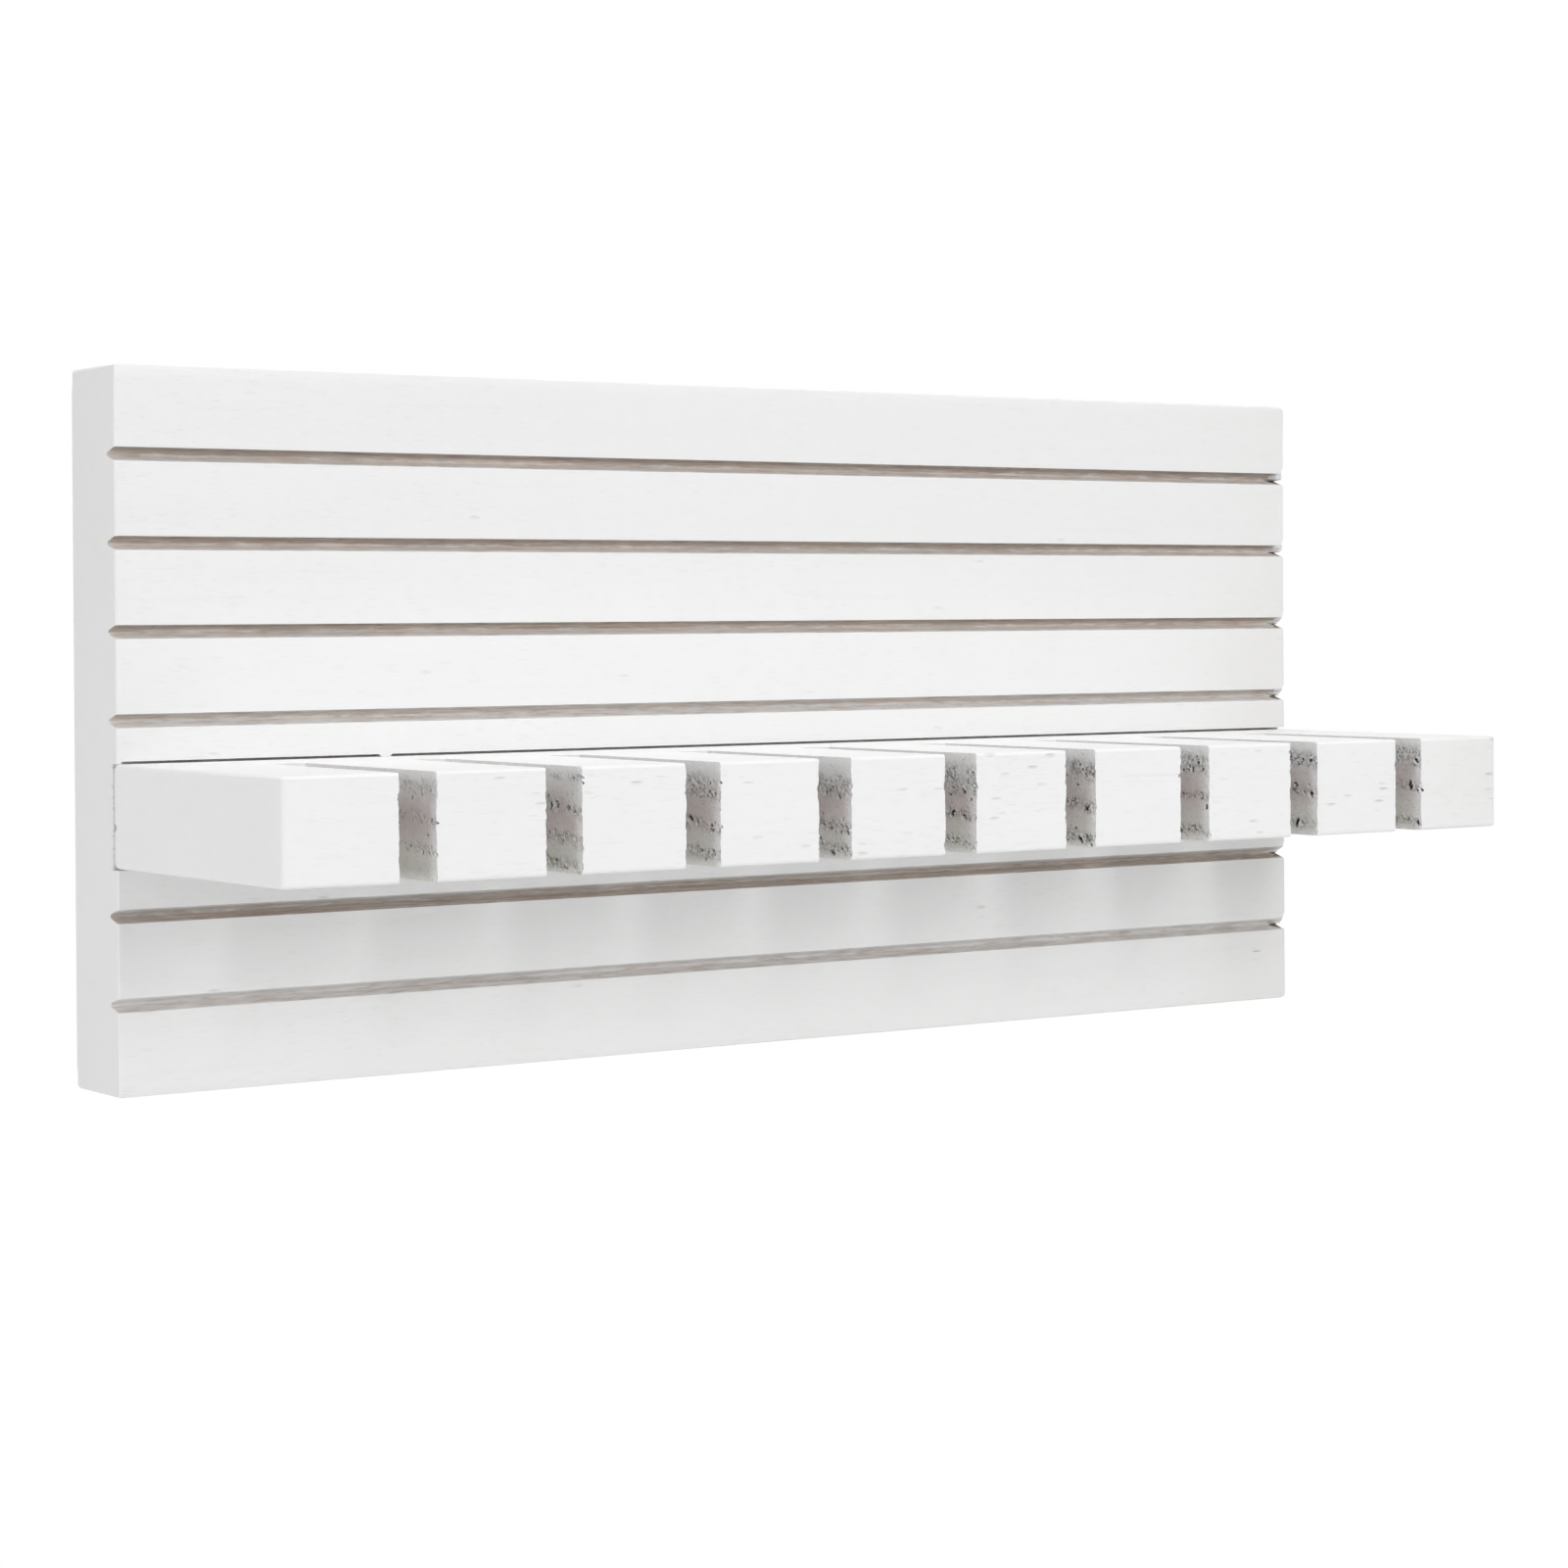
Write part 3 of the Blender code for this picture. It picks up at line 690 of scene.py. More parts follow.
class BELTRACK_OT_backboard(bpy.types.Operator):
    """Round the groove lips, tear them at the board's ends and paint the face"""

    bl_idname = "beltrack.backboard"
    bl_label = "Backboard"

    def execute(self, context):
        sizes = context.scene.belt_rack_board
        board = copy_of_node("backboard", "grooved_board")
        self.true_corners(board, sizes)
        floor = [v.co.z for v in board.data.vertices if on_housing_floor(v.co.y)]
        score(board, 2, [min(floor), max(floor)])
        edit(board, "EDGE")
        select_where(board, "EDGE", groove_lip)
        bpy.ops.mesh.bevel(offset=sizes.lip, segments=2, affect="EDGES")
        select_where(board, "EDGE", housing_mouth)
        bpy.ops.mesh.bevel(offset=sizes.mouth, segments=4, affect="EDGES")
        leave_edit()
        draw = np.random.default_rng(sizes.seed)
        self.tear(board, sizes, draw)
        tips = self.groove_tips(board.data)
        self.wear_corners(board, sizes, tips)
        self.plug_ends(board, sizes, draw, tips)
        self.bridge_gap(board, sizes, max(floor))
        edit(board)
        bpy.ops.mesh.dissolve_degenerate(threshold=MERGE)
        leave_edit()
        self.paint(board, context.scene.belt_rack_finish)
        smooth(board, 32.0)
        seat(board, "backboard")
        return {"FINISHED"}

    def true_corners(self, board, sizes):
        """Tighten the upright back edges, and the left end's top and bottom edges towards the front."""
        cuts = np.array((1.05, 1.3, 1.6, 2.0))
        forward_reach = 10 * MM
        levels = BOARD_HIGH.z - sizes.back_easing * cuts
        score(board, 2, [*levels, *-levels])
        points = points_of(board.data)
        below_top = share_of((BOARD_HIGH.z - np.abs(points[:, 2])) / sizes.back_easing - 1.0)
        for x in (BOARD_LOW.x, BOARD_HIGH.x):
            share = 0.75 + 0.25 * below_top
            resize_rounding(points, [0, 1], (x, BOARD_HIGH.y), sizes.back_easing, sizes.back_round, share)
        forward = share_of((BOARD_HIGH.y - points[:, 1] - sizes.back_easing) / forward_reach)
        for z in (BOARD_LOW.z, BOARD_HIGH.z):
            share = 0.5 + 0.5 * forward
            resize_rounding(points, [0, 2], (BOARD_LOW.x, z), sizes.corner_easing, sizes.corner_round, share)
        set_points(board.data, points)

    def tear(self, board, sizes, draw):
        """Ragged lips near the ends of the grooves, worse where the cutter came out at the right."""
        right = BOARD_HIGH.x
        left_force = 0.25
        lip_depth = 1.2 * MM
        fade = 1.8 * MM
        jag_length = 0.8 * MM
        steps = np.arange(sizes.tear_step, sizes.tear_reach, sizes.tear_step)
        score(board, 0, [*(right - steps), *(steps - right)])
        mesh = board.data
        points = points_of(mesh)
        from_end = right - np.abs(points[:, 0])
        near_face = points[:, 1] < BOARD_LOW.y + lip_depth
        torn = groove_points(mesh) & near_face & (from_end < sizes.tear_reach)
        force = np.exp(-from_end / fade) * np.where(points[:, 0] > 0, 1.0, left_force)
        jag = np.abs(rough(draw, points[:, 0], points[:, 2], jag_length, jag_length)) * sizes.tear_size
        points[torn, 1] += (jag * force)[torn]
        set_points(mesh, points)

    def groove_tips(self, mesh):
        """Heights of the grooves' bottoms, from the top groove down."""
        points = points_of(mesh)
        deep = groove_points(mesh) & (points[:, 1] > BOARD_LOW.y + GROOVE_BOTTOM)
        tips = []
        for z in np.sort(points[deep, 2])[::-1]:
            if not tips or tips[-1] - z > GROOVE_APART:
                tips.append(z)
        if len(tips) != len(PLUG_SHARES):
            raise RuntimeError("the board doesn't have the grooves that the torn fibre is for")
        return tips

    def wear_corners(self, board, sizes, tips):
        """Round the corners of the strips where the grooves run out at the right end."""
        mesh = board.data
        right = BOARD_HIGH.x
        draw = np.random.default_rng(sizes.seed + 1)
        rounds = sizes.worn_corner * draw.uniform(*WORN_RANGE, 2 * len(tips))

        def in_reach(face):
            middle = face.calc_center_median()
            return middle.x > right - sizes.tear_reach and middle.y < BOARD_HIGH.y - UNWORN_BACK

        aways = WORN_CUTS * sizes.worn_corner + GROOVE_HALF
        levels = [level for tip in tips for away in aways for level in (tip - away, tip + away)]
        score_faces(board, levels, in_reach)
        points = points_of(mesh)
        from_end = right - points[:, 0]
        in_front = share_of(1.0 - (points[:, 1] - BOARD_LOW.y) / WORN_DEPTH)
        near = (from_end < sizes.tear_reach) & (in_front > 0.0)
        inset = np.zeros(len(points))
        for number, tip in enumerate(tips):
            for side, size in ((1, rounds[2 * number]), (-1, rounds[2 * number + 1])):
                past = side * (points[:, 2] - tip)
                toward = share_of(1.0 - (past - GROOVE_HALF) / size)
                curve = np.minimum(size * (1.0 - np.sqrt(1.0 - toward * toward)), WORN_SHARE * size)
                mine = near & (past > 0.0) & (past < GROOVE_HALF + size)
                inset = np.where(mine, np.where(past < GROOVE_HALF, WORN_SHARE * size, curve), inset)
        points[:, 0] -= inset * in_front * share_of(1.0 - from_end / sizes.tear_reach)
        set_points(mesh, points)

    def plug_ends(self, board, sizes, draw, tips):
        """Lumps of torn fibre that the cutter pushed into the grooves' right ends, over a thin crack."""
        mesh = board.data
        right = BOARD_HIGH.x
        ragged_cell = 0.4 * MM
        lump_cell = 0.6 * MM
        fade_in = 1.2 * MM
        crack_edge = 0.25 * MM
        crack_depth = 0.5 * MM
        levels = np.arange(*PLUG_CUTS, sizes.plug_step)
        for tip in tips:

            def in_groove_end(face):
                middle = face.calc_center_median()
                in_reach = middle.x > right - sizes.tear_reach
                return in_reach and abs(middle.z - tip) < PLUG_HALF and abs(face.normal.x) < TURNED

            score_faces(board, tip + levels, in_groove_end)
        points = points_of(mesh)
        from_end = right - points[:, 0]
        in_reach = groove_points(mesh) & (from_end < sizes.tear_reach)
        filled = np.zeros(len(points))
        cracked = np.zeros(len(points))
        for tip, share in zip(tips, PLUG_SHARES):
            mine = np.flatnonzero(in_reach & (np.abs(points[:, 2] - tip) < PLUG_HALF))
            x, y, z = points[mine].T
            start = sizes.plug_reach * (0.8 + 0.35 * rough(draw, z, np.zeros_like(z), ragged_cell, 1.0))
            along = share_of((start - from_end[mine]) / fade_in)
            above = share_of((z - tip + sizes.plug_crack) / crack_edge)
            lump = (0.4 + 0.35 * rough(draw, x, z, lump_cell, lump_cell)) * MM
            depth = y - BOARD_LOW.y
            points[mine, 1] -= share * along * above * np.maximum(depth - lump, 0.0)
            filled[mine] = along * above * min(1.0, share + 0.3)
            # Mask of the crack, into which the groove material paints shade
            cracked[mine] = along * (1.0 - above) * share_of(depth / crack_depth)
        set_points(mesh, points)
        keep_mask(board, "filled", filled)
        keep_mask(board, "cracked", cracked)

    def bridge_gap(self, board, sizes, housing_top):
        """Paint that closes the gap above the rail at one place and at its left end."""
        mesh = board.data
        left_open = 0.03 * MM
        wall_band = 0.05 * MM
        for middle, inner in ((-sizes.bridge_at, sizes.bridge_width), (BOARD_LOW.x, sizes.corner_fill)):
            outer = 1.5 * inner
            score(board, 0, [middle - outer, middle - inner, middle + inner, middle + outer])
            points = points_of(mesh)
            wall = np.abs(points[:, 2] - housing_top) < wall_band
            bridged = wall & (np.abs(points[:, 0] - middle) < inner + CLOSE)
            points[bridged, 2] = RAIL_HIGH.z + left_open
            set_points(mesh, points)

    def paint(self, board, finish):
        """White paint all over, and bare wood in the grooves and on the housing's floor."""
        mesh = board.data
        painted = painted_material(
            "board_paint", finish, finish.board_paint, pore_limit=0.70, nick_limit=0.90, dent_shade_share=0.15
        )
        mesh.materials.append(painted)
        mesh.materials.append(groove_material(finish))
        floor_depth = 1.2 * MM
        end_on = 0.97
        facing = np.zeros(len(mesh.polygons))
        for index in groove_faces(mesh):
            mesh.polygons[index].material_index = 1
            facing[index] = mesh.polygons[index].normal.z
        for face in mesh.polygons:
            on_floor = RAIL_HIGH.y - MARGIN < face.center.y < RAIL_HIGH.y + floor_depth
            if in_housing(face.center.z) and on_floor and abs(face.normal.x) < end_on:
                face.material_index = 1
        keep_mask(board, "facing", facing, "FACE")


# Screws and hangers

# Share of a screw's length from its head to the start of its thread
PLAIN_SHANK = 0.38
# Degrees that the first screw's cross is turned, and how much more each next one is
FIRST_TURN = 11.0
NEXT_TURN = 37.0


def cut_recess(screw, across, width, depth):
    """Cut a tapered cross into the top of a screw's head."""
    taper = 0.45
    for turn in (0.0, math.pi / 2):
        bpy.ops.object.select_all(action="DESELECT")
        bpy.ops.mesh.primitive_cube_add(size=1.0)
        bar = bpy.context.object
        bar.scale = (across, width, 2 * depth)
        bar.rotation_euler.z = turn
        bpy.ops.object.transform_apply(location=True, rotation=True, scale=True)
        for vert in bar.data.vertices:
            if vert.co.z < 0:
                vert.co.x *= taper
                vert.co.y *= taper
        select_only(screw)
        cut = screw.modifiers.new("cut", "BOOLEAN")
        cut.operation = "DIFFERENCE"
        cut.solver = "EXACT"
        cut.object = bar
        bpy.ops.object.modifier_apply(modifier=cut.name)
        bpy.data.objects.remove(bar, do_unlink=True)


def cut_thread(screw, shank, long, pitch):
    """Draw the shank in between the turns of its thread."""
    core = 0.72
    half_crest = 0.22
    points = points_of(screw.data)
    around = np.arctan2(points[:, 1], points[:, 0]) / (2 * math.pi)
    turn = np.mod(points[:, 2] / pitch - around, 1.0)
    crest = share_of(1.0 - np.abs(turn - 0.5) / half_crest)
    start = (PLAIN_SHANK + 0.01) * long
    run_in = share_of((-start - points[:, 2]) / pitch)
    drawn = 1 - run_in * (1 - core) * (1 - crest)
    points[:, :2] *= np.where(points[:, 2] < -start, drawn, 1.0)[:, None]
    set_points(screw.data, points)


def model_screw(head, shank, long, tip, pitch):
    """A countersunk wood screw with its flat top at the origin and its point along -Z."""
    sides = 32
    rings_in_turn = 8
    cone = (head - shank) / 2
    rim = 0.03 * head
    bpy.ops.object.select_all(action="DESELECT")
    bpy.ops.mesh.primitive_circle_add(vertices=sides, radius=head / 2 - rim, fill_type="NGON")
    screw = bpy.context.object
    edit(screw, "EDGE")
    plain_end = -PLAIN_SHANK * long
    stations = [(head / 2, -rim), (head / 2, -2 * rim), (shank / 2, -cone - rim), (shank / 2, plain_end)]
    step = pitch / rings_in_turn
    z = plain_end - step
    while z > -long + 0.6 * step:
        stations.append((shank / 2 * min(1.0, (z + long) / tip), z))
        z -= step
    radius, height = head / 2 - rim, 0.0
    for next_radius, next_height in stations:
        bpy.ops.mesh.extrude_edges_move(TRANSFORM_OT_translate={"value": (0, 0, next_height - height)})
        shrink = next_radius / radius
        bpy.ops.transform.resize(value=(shrink, shrink, 1.0), center_override=(0, 0, 0))
        radius, height = next_radius, next_height
    bpy.ops.mesh.extrude_edges_move(TRANSFORM_OT_translate={"value": (0, 0, -long - height)})
    bpy.ops.mesh.merge(type="CENTER")
    bpy.ops.mesh.select_all(action="SELECT")
    bpy.ops.mesh.normals_make_consistent(inside=False)
    leave_edit()
    cut_thread(screw, shank, long, pitch)
    cut_recess(screw, across=0.58 * head, width=0.14 * head, depth=0.8 * cone)
    smooth(screw, 40.0)
    return screw


def set_screws(nodes, shank, tip, pitch, material):
    """Model one screw to the first node's size, and set a copy, turned to the wall, at each node's head."""
    low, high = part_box(nodes[0])
    screw = model_screw(high.x - low.x, shank, high.y - low.y, tip, pitch)
    screw.data.materials.append(material)
    lay = Matrix.Rotation(-math.pi / 2, 4, "X")
    for number, node in enumerate(nodes):
        low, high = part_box(node)
        middle = (low + high) / 2
        copy = link(f"threaded_{node}", screw.data.copy())
        spun = Matrix.Rotation(math.radians(NEXT_TURN * number + FIRST_TURN), 4, "Z")
        copy.matrix_world = Matrix.Translation((middle.x, high.y, middle.z)) @ lay @ spun
        select_only(copy)
        bpy.ops.object.transform_apply(location=True, rotation=True, scale=True)
        seat(copy, node)
    bpy.data.objects.remove(screw, do_unlink=True)


class BELTRACK_OT_rail_screws(bpy.types.Operator):
    """Model one threaded rail screw and set a copy at each of its nodes"""

    bl_idname = "beltrack.rail_screws"
    bl_label = "Rail Screws"

    def execute(self, context):
        sizes = context.scene.belt_rack_fixings
        nodes = [f"rail_screw_{i}" for i in range(1, 5)]
        plated = plated_material("yellow_zinc", context.scene.belt_rack_finish.yellow_zinc, roughness=0.36)
        set_screws(nodes, sizes.rail_shank, sizes.rail_tip, sizes.rail_pitch, plated)
        return {"FINISHED"}


class BELTRACK_OT_hanger_screws(bpy.types.Operator):
    """Model one small threaded screw and set a copy at each hanger hole"""

    bl_idname = "beltrack.hanger_screws"
    bl_label = "Hanger Screws"

    def execute(self, context):
        sizes = context.scene.belt_rack_fixings
        nodes = [f"hanger_screw_{side}_{end}" for side in ("left", "right") for end in ("top", "bottom")]
        plated = plated_material("zinc_screw", context.scene.belt_rack_finish.zinc, roughness=0.32)
        set_screws(nodes, sizes.plate_shank, sizes.plate_tip, sizes.plate_pitch, plated)
        return {"FINISHED"}


class BELTRACK_OT_keyhole_hangers(bpy.types.Operator):
    """Round the stamped edges of both keyhole hangers and plate them"""

    bl_idname = "beltrack.keyhole_hangers"
    bl_label = "Keyhole Hangers"

    def execute(self, context):
        sizes = context.scene.belt_rack_fixings
        plated = plated_material("zinc_plate", context.scene.belt_rack_finish.zinc, roughness=0.38)
        for side in ("left", "right"):
            node = f"keyhole_hanger_{side}"
            plate = copy_of_node(node, f"stamped_hanger_{side}")
            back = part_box(node)[1].y

            def outer_rim(edge):
                at_back = all(abs(vert.co.y - back) < CLOSE for vert in edge.verts)
                return at_back and len(edge.link_faces) == 2 and edge.calc_face_angle() > math.radians(60)

            edit(plate, "EDGE")
            select_where(plate, "EDGE", outer_rim)
            bpy.ops.mesh.bevel(offset=sizes.plate_edge, segments=3, affect="EDGES")
            leave_edit()
            plate.data.materials.append(plated)
            smooth(plate, 35.0)
            seat(plate, node)
        return {"FINISHED"}


# Materials


class Value:
    """A socket of a shader tree that plain arithmetic works on."""

    def __init__(self, tree, socket):
        self.tree = tree
        self.socket = socket

    def maths(self, operation, first, second=0.0):
        node = add(self.tree, "ShaderNodeMath", {0: first, 1: second}, operation=operation)
        return Value(self.tree, node.outputs[0])

    def __add__(self, other):
        return self.maths("ADD", self, other)

    def __sub__(self, other):
        return self.maths("SUBTRACT", self, other)

    def __rsub__(self, other):
        return self.maths("SUBTRACT", other, self)

    def __mul__(self, other):
        return self.maths("MULTIPLY", self, other)

    def __abs__(self):
        return self.maths("ABSOLUTE", self)

    def or_more(self, other):
        """The larger of this value and another."""
        return self.maths("MAXIMUM", self, other)

    def ramp(self, low, high, to_low=0.0, to_high=1.0):
        """A range of this value mapped smoothly onto another."""
        inputs = {"Value": self, "From Min": low, "From Max": high, "To Min": to_low, "To Max": to_high}
        node = add(self.tree, "ShaderNodeMapRange", inputs, interpolation_type="SMOOTHSTEP")
        return Value(self.tree, node.outputs["Result"])


def wire(tree, node, inputs):
    """Give each named input of a node a value or a link."""
    for name, value in inputs.items():
        if isinstance(value, Value):
            tree.links.new(value.socket, node.inputs[name])
        else:
            node.inputs[name].default_value = value


def add(tree, kind, inputs=None, **settings):
    """Add a node, set its properties and wire its inputs."""
    node = tree.nodes.new(kind)
    for name, value in settings.items():
        setattr(node, name, value)
    wire(tree, node, inputs or {})
    return node


def split(vector):
    """The three parts of a vector."""
    node = add(vector.tree, "ShaderNodeSeparateXYZ", {0: vector})
    return [Value(vector.tree, node.outputs[axis]) for axis in "XYZ"]


def join(*parts):
    """A vector from two or three parts."""
    node = add(parts[0].tree, "ShaderNodeCombineXYZ", dict(enumerate(parts)))
    return Value(parts[0].tree, node.outputs[0])


def stretched(vector, scale):
    """Coordinates scaled apart, so that a pattern is drawn out along one axis."""
    node = add(vector.tree, "ShaderNodeVectorMath", {0: vector, 1: scale}, operation="MULTIPLY")
    return Value(vector.tree, node.outputs[0])


def noise(vector, scale, detail=2.0, roughness=0.5):
    """Soft noise with so many bumps in a metre along each axis."""
    inputs = {"Vector": stretched(vector, scale), "Scale": 1.0, "Detail": detail, "Roughness": roughness}
    return Value(vector.tree, add(vector.tree, "ShaderNodeTexNoise", inputs).outputs["Fac"])


def mask(tree, name):
    """A value that the mesh keeps for each point or face."""
    return Value(tree, add(tree, "ShaderNodeAttribute", attribute_name=name).outputs["Fac"])


def coats(base, *layers):
    """Lay colours over a base colour, each with its own share."""
    for share, top in layers:
        pair = [part if isinstance(part, Value) else (*part, 1.0) for part in (base, top)]
        node = add(share.tree, "ShaderNodeMix", {"Factor": share, 6: pair[0], 7: pair[1]}, data_type="RGBA")
        base = Value(share.tree, node.outputs[2])
    return base


def bump(height, distance):
    node = add(height.tree, "ShaderNodeBump", {"Height": height, "Distance": distance, "Strength": 1.0})
    return Value(height.tree, node.outputs["Normal"])


def start_material(name):
    """A new material, its tree, its shader and the piece's own coordinates."""
    material = bpy.data.materials.new(name)
    material.use_nodes = True
    tree = material.node_tree
    position = Value(tree, add(tree, "ShaderNodeTexCoord").outputs["Object"])
    return material, tree, tree.nodes["Principled BSDF"], position


GRAIN_MASKS = ("Streaks", "Drift", "Pores", "Nicks")


def wood_grain_group():
    """Long grain along X: soft streaks, broad drifts of tone, open pores and small nicks."""
    if "Wood Grain" in bpy.data.node_groups:
        return bpy.data.node_groups["Wood Grain"]
    group = bpy.data.node_groups.new("Wood Grain", "ShaderNodeTree")
    sockets = group.interface
    sockets.new_socket("Vector", in_out="INPUT", socket_type="NodeSocketVector")
    for label in ("Pore Limit", "Nick Limit"):
        sockets.new_socket(label, in_out="INPUT", socket_type="NodeSocketFloat")
    for label in GRAIN_MASKS:
        sockets.new_socket(label, in_out="OUTPUT", socket_type="NodeSocketFloat")
    given = group.nodes.new("NodeGroupInput").outputs
    vector, pore_limit, nick_limit = (Value(group, socket) for socket in list(given)[:3])
    streaks = noise(vector, (14.0, 520.0, 520.0), 4.0, 0.6)
    drift = noise(vector, (9.0, 30.0, 30.0))
    fine = noise(vector, (260.0, 3600.0, 3600.0), 1.0)
    patches = noise(vector, (20.0, 120.0, 120.0))
    pores = (fine - (pore_limit - patches * 0.12)).ramp(0.0, 0.05)
    x, y, z = split(vector)
    flat = join(x, streaks * (1.5 * MM) + (z - y))
    inputs = {"Vector": stretched(flat, (85.0, 400.0, 0.0)), "Scale": 1.0}
    cells = add(group, "ShaderNodeTexVoronoi", inputs, voronoi_dimensions="2D").outputs
    lots = add(group, "ShaderNodeSeparateColor", {0: Value(group, cells["Color"])}).outputs
    chosen = Value(group, lots[0]).ramp(nick_limit, nick_limit + 0.06) * patches.ramp(0.50, 0.60)
    dash = Value(group, cells["Distance"]).ramp(0.15, 0.03)
    nicks = chosen * dash * Value(group, lots[1]).ramp(0.0, 1.0, 0.3, 1.0)
    wire(group, group.nodes.new("NodeGroupOutput"), dict(zip(GRAIN_MASKS, (streaks, drift, pores, nicks))))
    return group


def grain_of(position, pore_limit, nick_limit):
    """The masks of the wood grain, with pores and nicks where their noise passes a limit."""
    inputs = {"Vector": position, "Pore Limit": pore_limit, "Nick Limit": nick_limit}
    node = position.tree.nodes.new("ShaderNodeGroup")
    node.node_tree = wood_grain_group()
    wire(position.tree, node, inputs)
    return [Value(position.tree, node.outputs[label]) for label in GRAIN_MASKS]


def painted_material(name, finish, paint, pore_limit, nick_limit, dent_shade_share):
    """Satin white paint brushed over long grain that shows through a little, more so at the right end, with
    painted shade darkening the dents.
    """
    material, tree, shader, position = start_material(name)
    streaks, drift, pores, nicks = grain_of(position, pore_limit, nick_limit)
    across = split(position)[0]
    worn = across.ramp(108 * MM, 150 * MM, 0.0, 0.4) * drift.ramp(0.35, 0.65, 0.4, 1.0)
    show = streaks.ramp(0.52, 0.82, 0.0, 0.16) + drift.ramp(0.35, 0.75, 0.0, 0.07)
    show = show + pores * 0.22 + nicks * 0.45 + worn
    wire(tree, shader, {
        # The dents are darkened with painted shade
        "Base Color": coats(paint, (show, finish.thin_paint), (nicks * dent_shade_share, finish.groove_grey)),
        "Roughness": streaks.ramp(0.3, 0.8, 0.46, 0.60) + pores * 0.15,
        "Specular IOR Level": 0.35,
        "Normal": bump(streaks * 0.55 - pores * 0.5 - nicks * 5.0, 0.045 * MM),
    })
    return material


def groove_material(finish):
    """Bare wood in the grooves: painted shade under the lips, partly a darker line in the wood, paint dust
    that is partly painted light on the lit flanks, and painted shade in the crack.
    """
    material, tree, shader, position = start_material("groove_wood")
    pores = grain_of(position, pore_limit=0.60, nick_limit=0.74)[2]
    facing, filled, cracked = (mask(tree, name) for name in ("facing", "filled", "cracked"))
    x, y, z = split(position)
    up = facing.or_more(0.0)
    down = (facing * -1.0).or_more(0.0)
    lip = (y - BOARD_LOW.y).ramp(3.2 * MM, 1.1 * MM)
    low = z.ramp(-8 * MM, -30 * MM)
    lowest = z.ramp(-40 * MM, -50 * MM)
    high = 1.0 - low
    middle = high * z.ramp(10 * MM, 4 * MM)
    long = noise(position, (22.0, 1500.0, 1500.0), 3.0, 0.6)
    blots = noise(position, (150.0, 600.0, 600.0))
    weather = noise(position, (60.0, 240.0, 240.0))
    fibres = noise(position, (190.0, 1900.0, 1900.0), 2.0, 0.6)

    housing = z.ramp(RAIL_HIGH.z + 2 * MM, RAIL_HIGH.z + 0.6 * MM)
    housing = housing * z.ramp(RAIL_LOW.z - 2 * MM, RAIL_LOW.z - 0.6 * MM) * 0.9
    housing_end = housing * abs(x).ramp(BOARD_HIGH.x - 5 * MM, BOARD_HIGH.x - 2 * MM)

    # Painted shade just inside the lips: on the flank facing down in the grooves above the rail and on the
    # flank facing up in the rail's shadow below it, partly a darker line in the wood
    lip_shade = down * high * 0.92 + up * low * 0.42 + down * lowest * 0.25
    lip_shade = lip_shade * lip * blots.ramp(0.3, 0.6, 1.0, 0.7)

    # Paint dust, partly painted light: the flank facing up in the upper grooves and the flank facing down in
    # the lower ones are lightened where light falls on them
    paint_dust_and_light = up * high * lip.ramp(0.0, 1.0, 0.55, 0.75) + down * low * 0.75 + lowest * 0.58 + middle * 0.3
    paint_dust_and_light = paint_dust_and_light * blots.ramp(0.3, 0.6, 0.6, 1.1)
    right_end = (BOARD_HIGH.x - x).ramp(4.5 * MM, 0.8 * MM, 0.0, 0.7) * blots.ramp(0.3, 0.6, 0.35, 1.0)
    paint = paint_dust_and_light.or_more(right_end).or_more(filled.ramp(0.1, 0.5, 0.0, 0.95))

    wood = coats(
        finish.groove_light,
        (long.ramp(0.38, 0.66), finish.groove_dark),
        (weather.ramp(0.42, 0.62, 0.0, 0.45), finish.groove_grey),
        (blots.ramp(0.60, 0.72, 0.0, 0.35), finish.groove_dark),
        (pores * 0.3, finish.groove_dark),
        (housing, finish.groove_grey),
        (housing_end, finish.board_paint),
        (lip_shade, finish.groove_lip),
        (paint, finish.board_paint),
        (fibres.ramp(0.53, 0.66, 0.0, 0.5), finish.groove_dark),
        (fibres.ramp(0.47, 0.36, 0.0, 0.5) * (1.0 - lip_shade), finish.board_paint),
        # Painted shade in the crack below the torn fibre
        (cracked.ramp(0.2, 0.7, 0.0, 0.9), finish.groove_lip),
    )
    wire(tree, shader, {
        "Base Color": wood, "Roughness": 0.8, "Specular IOR Level": 0.2,
        "Normal": bump(long + fibres, 0.12 * MM),
    })
    return material


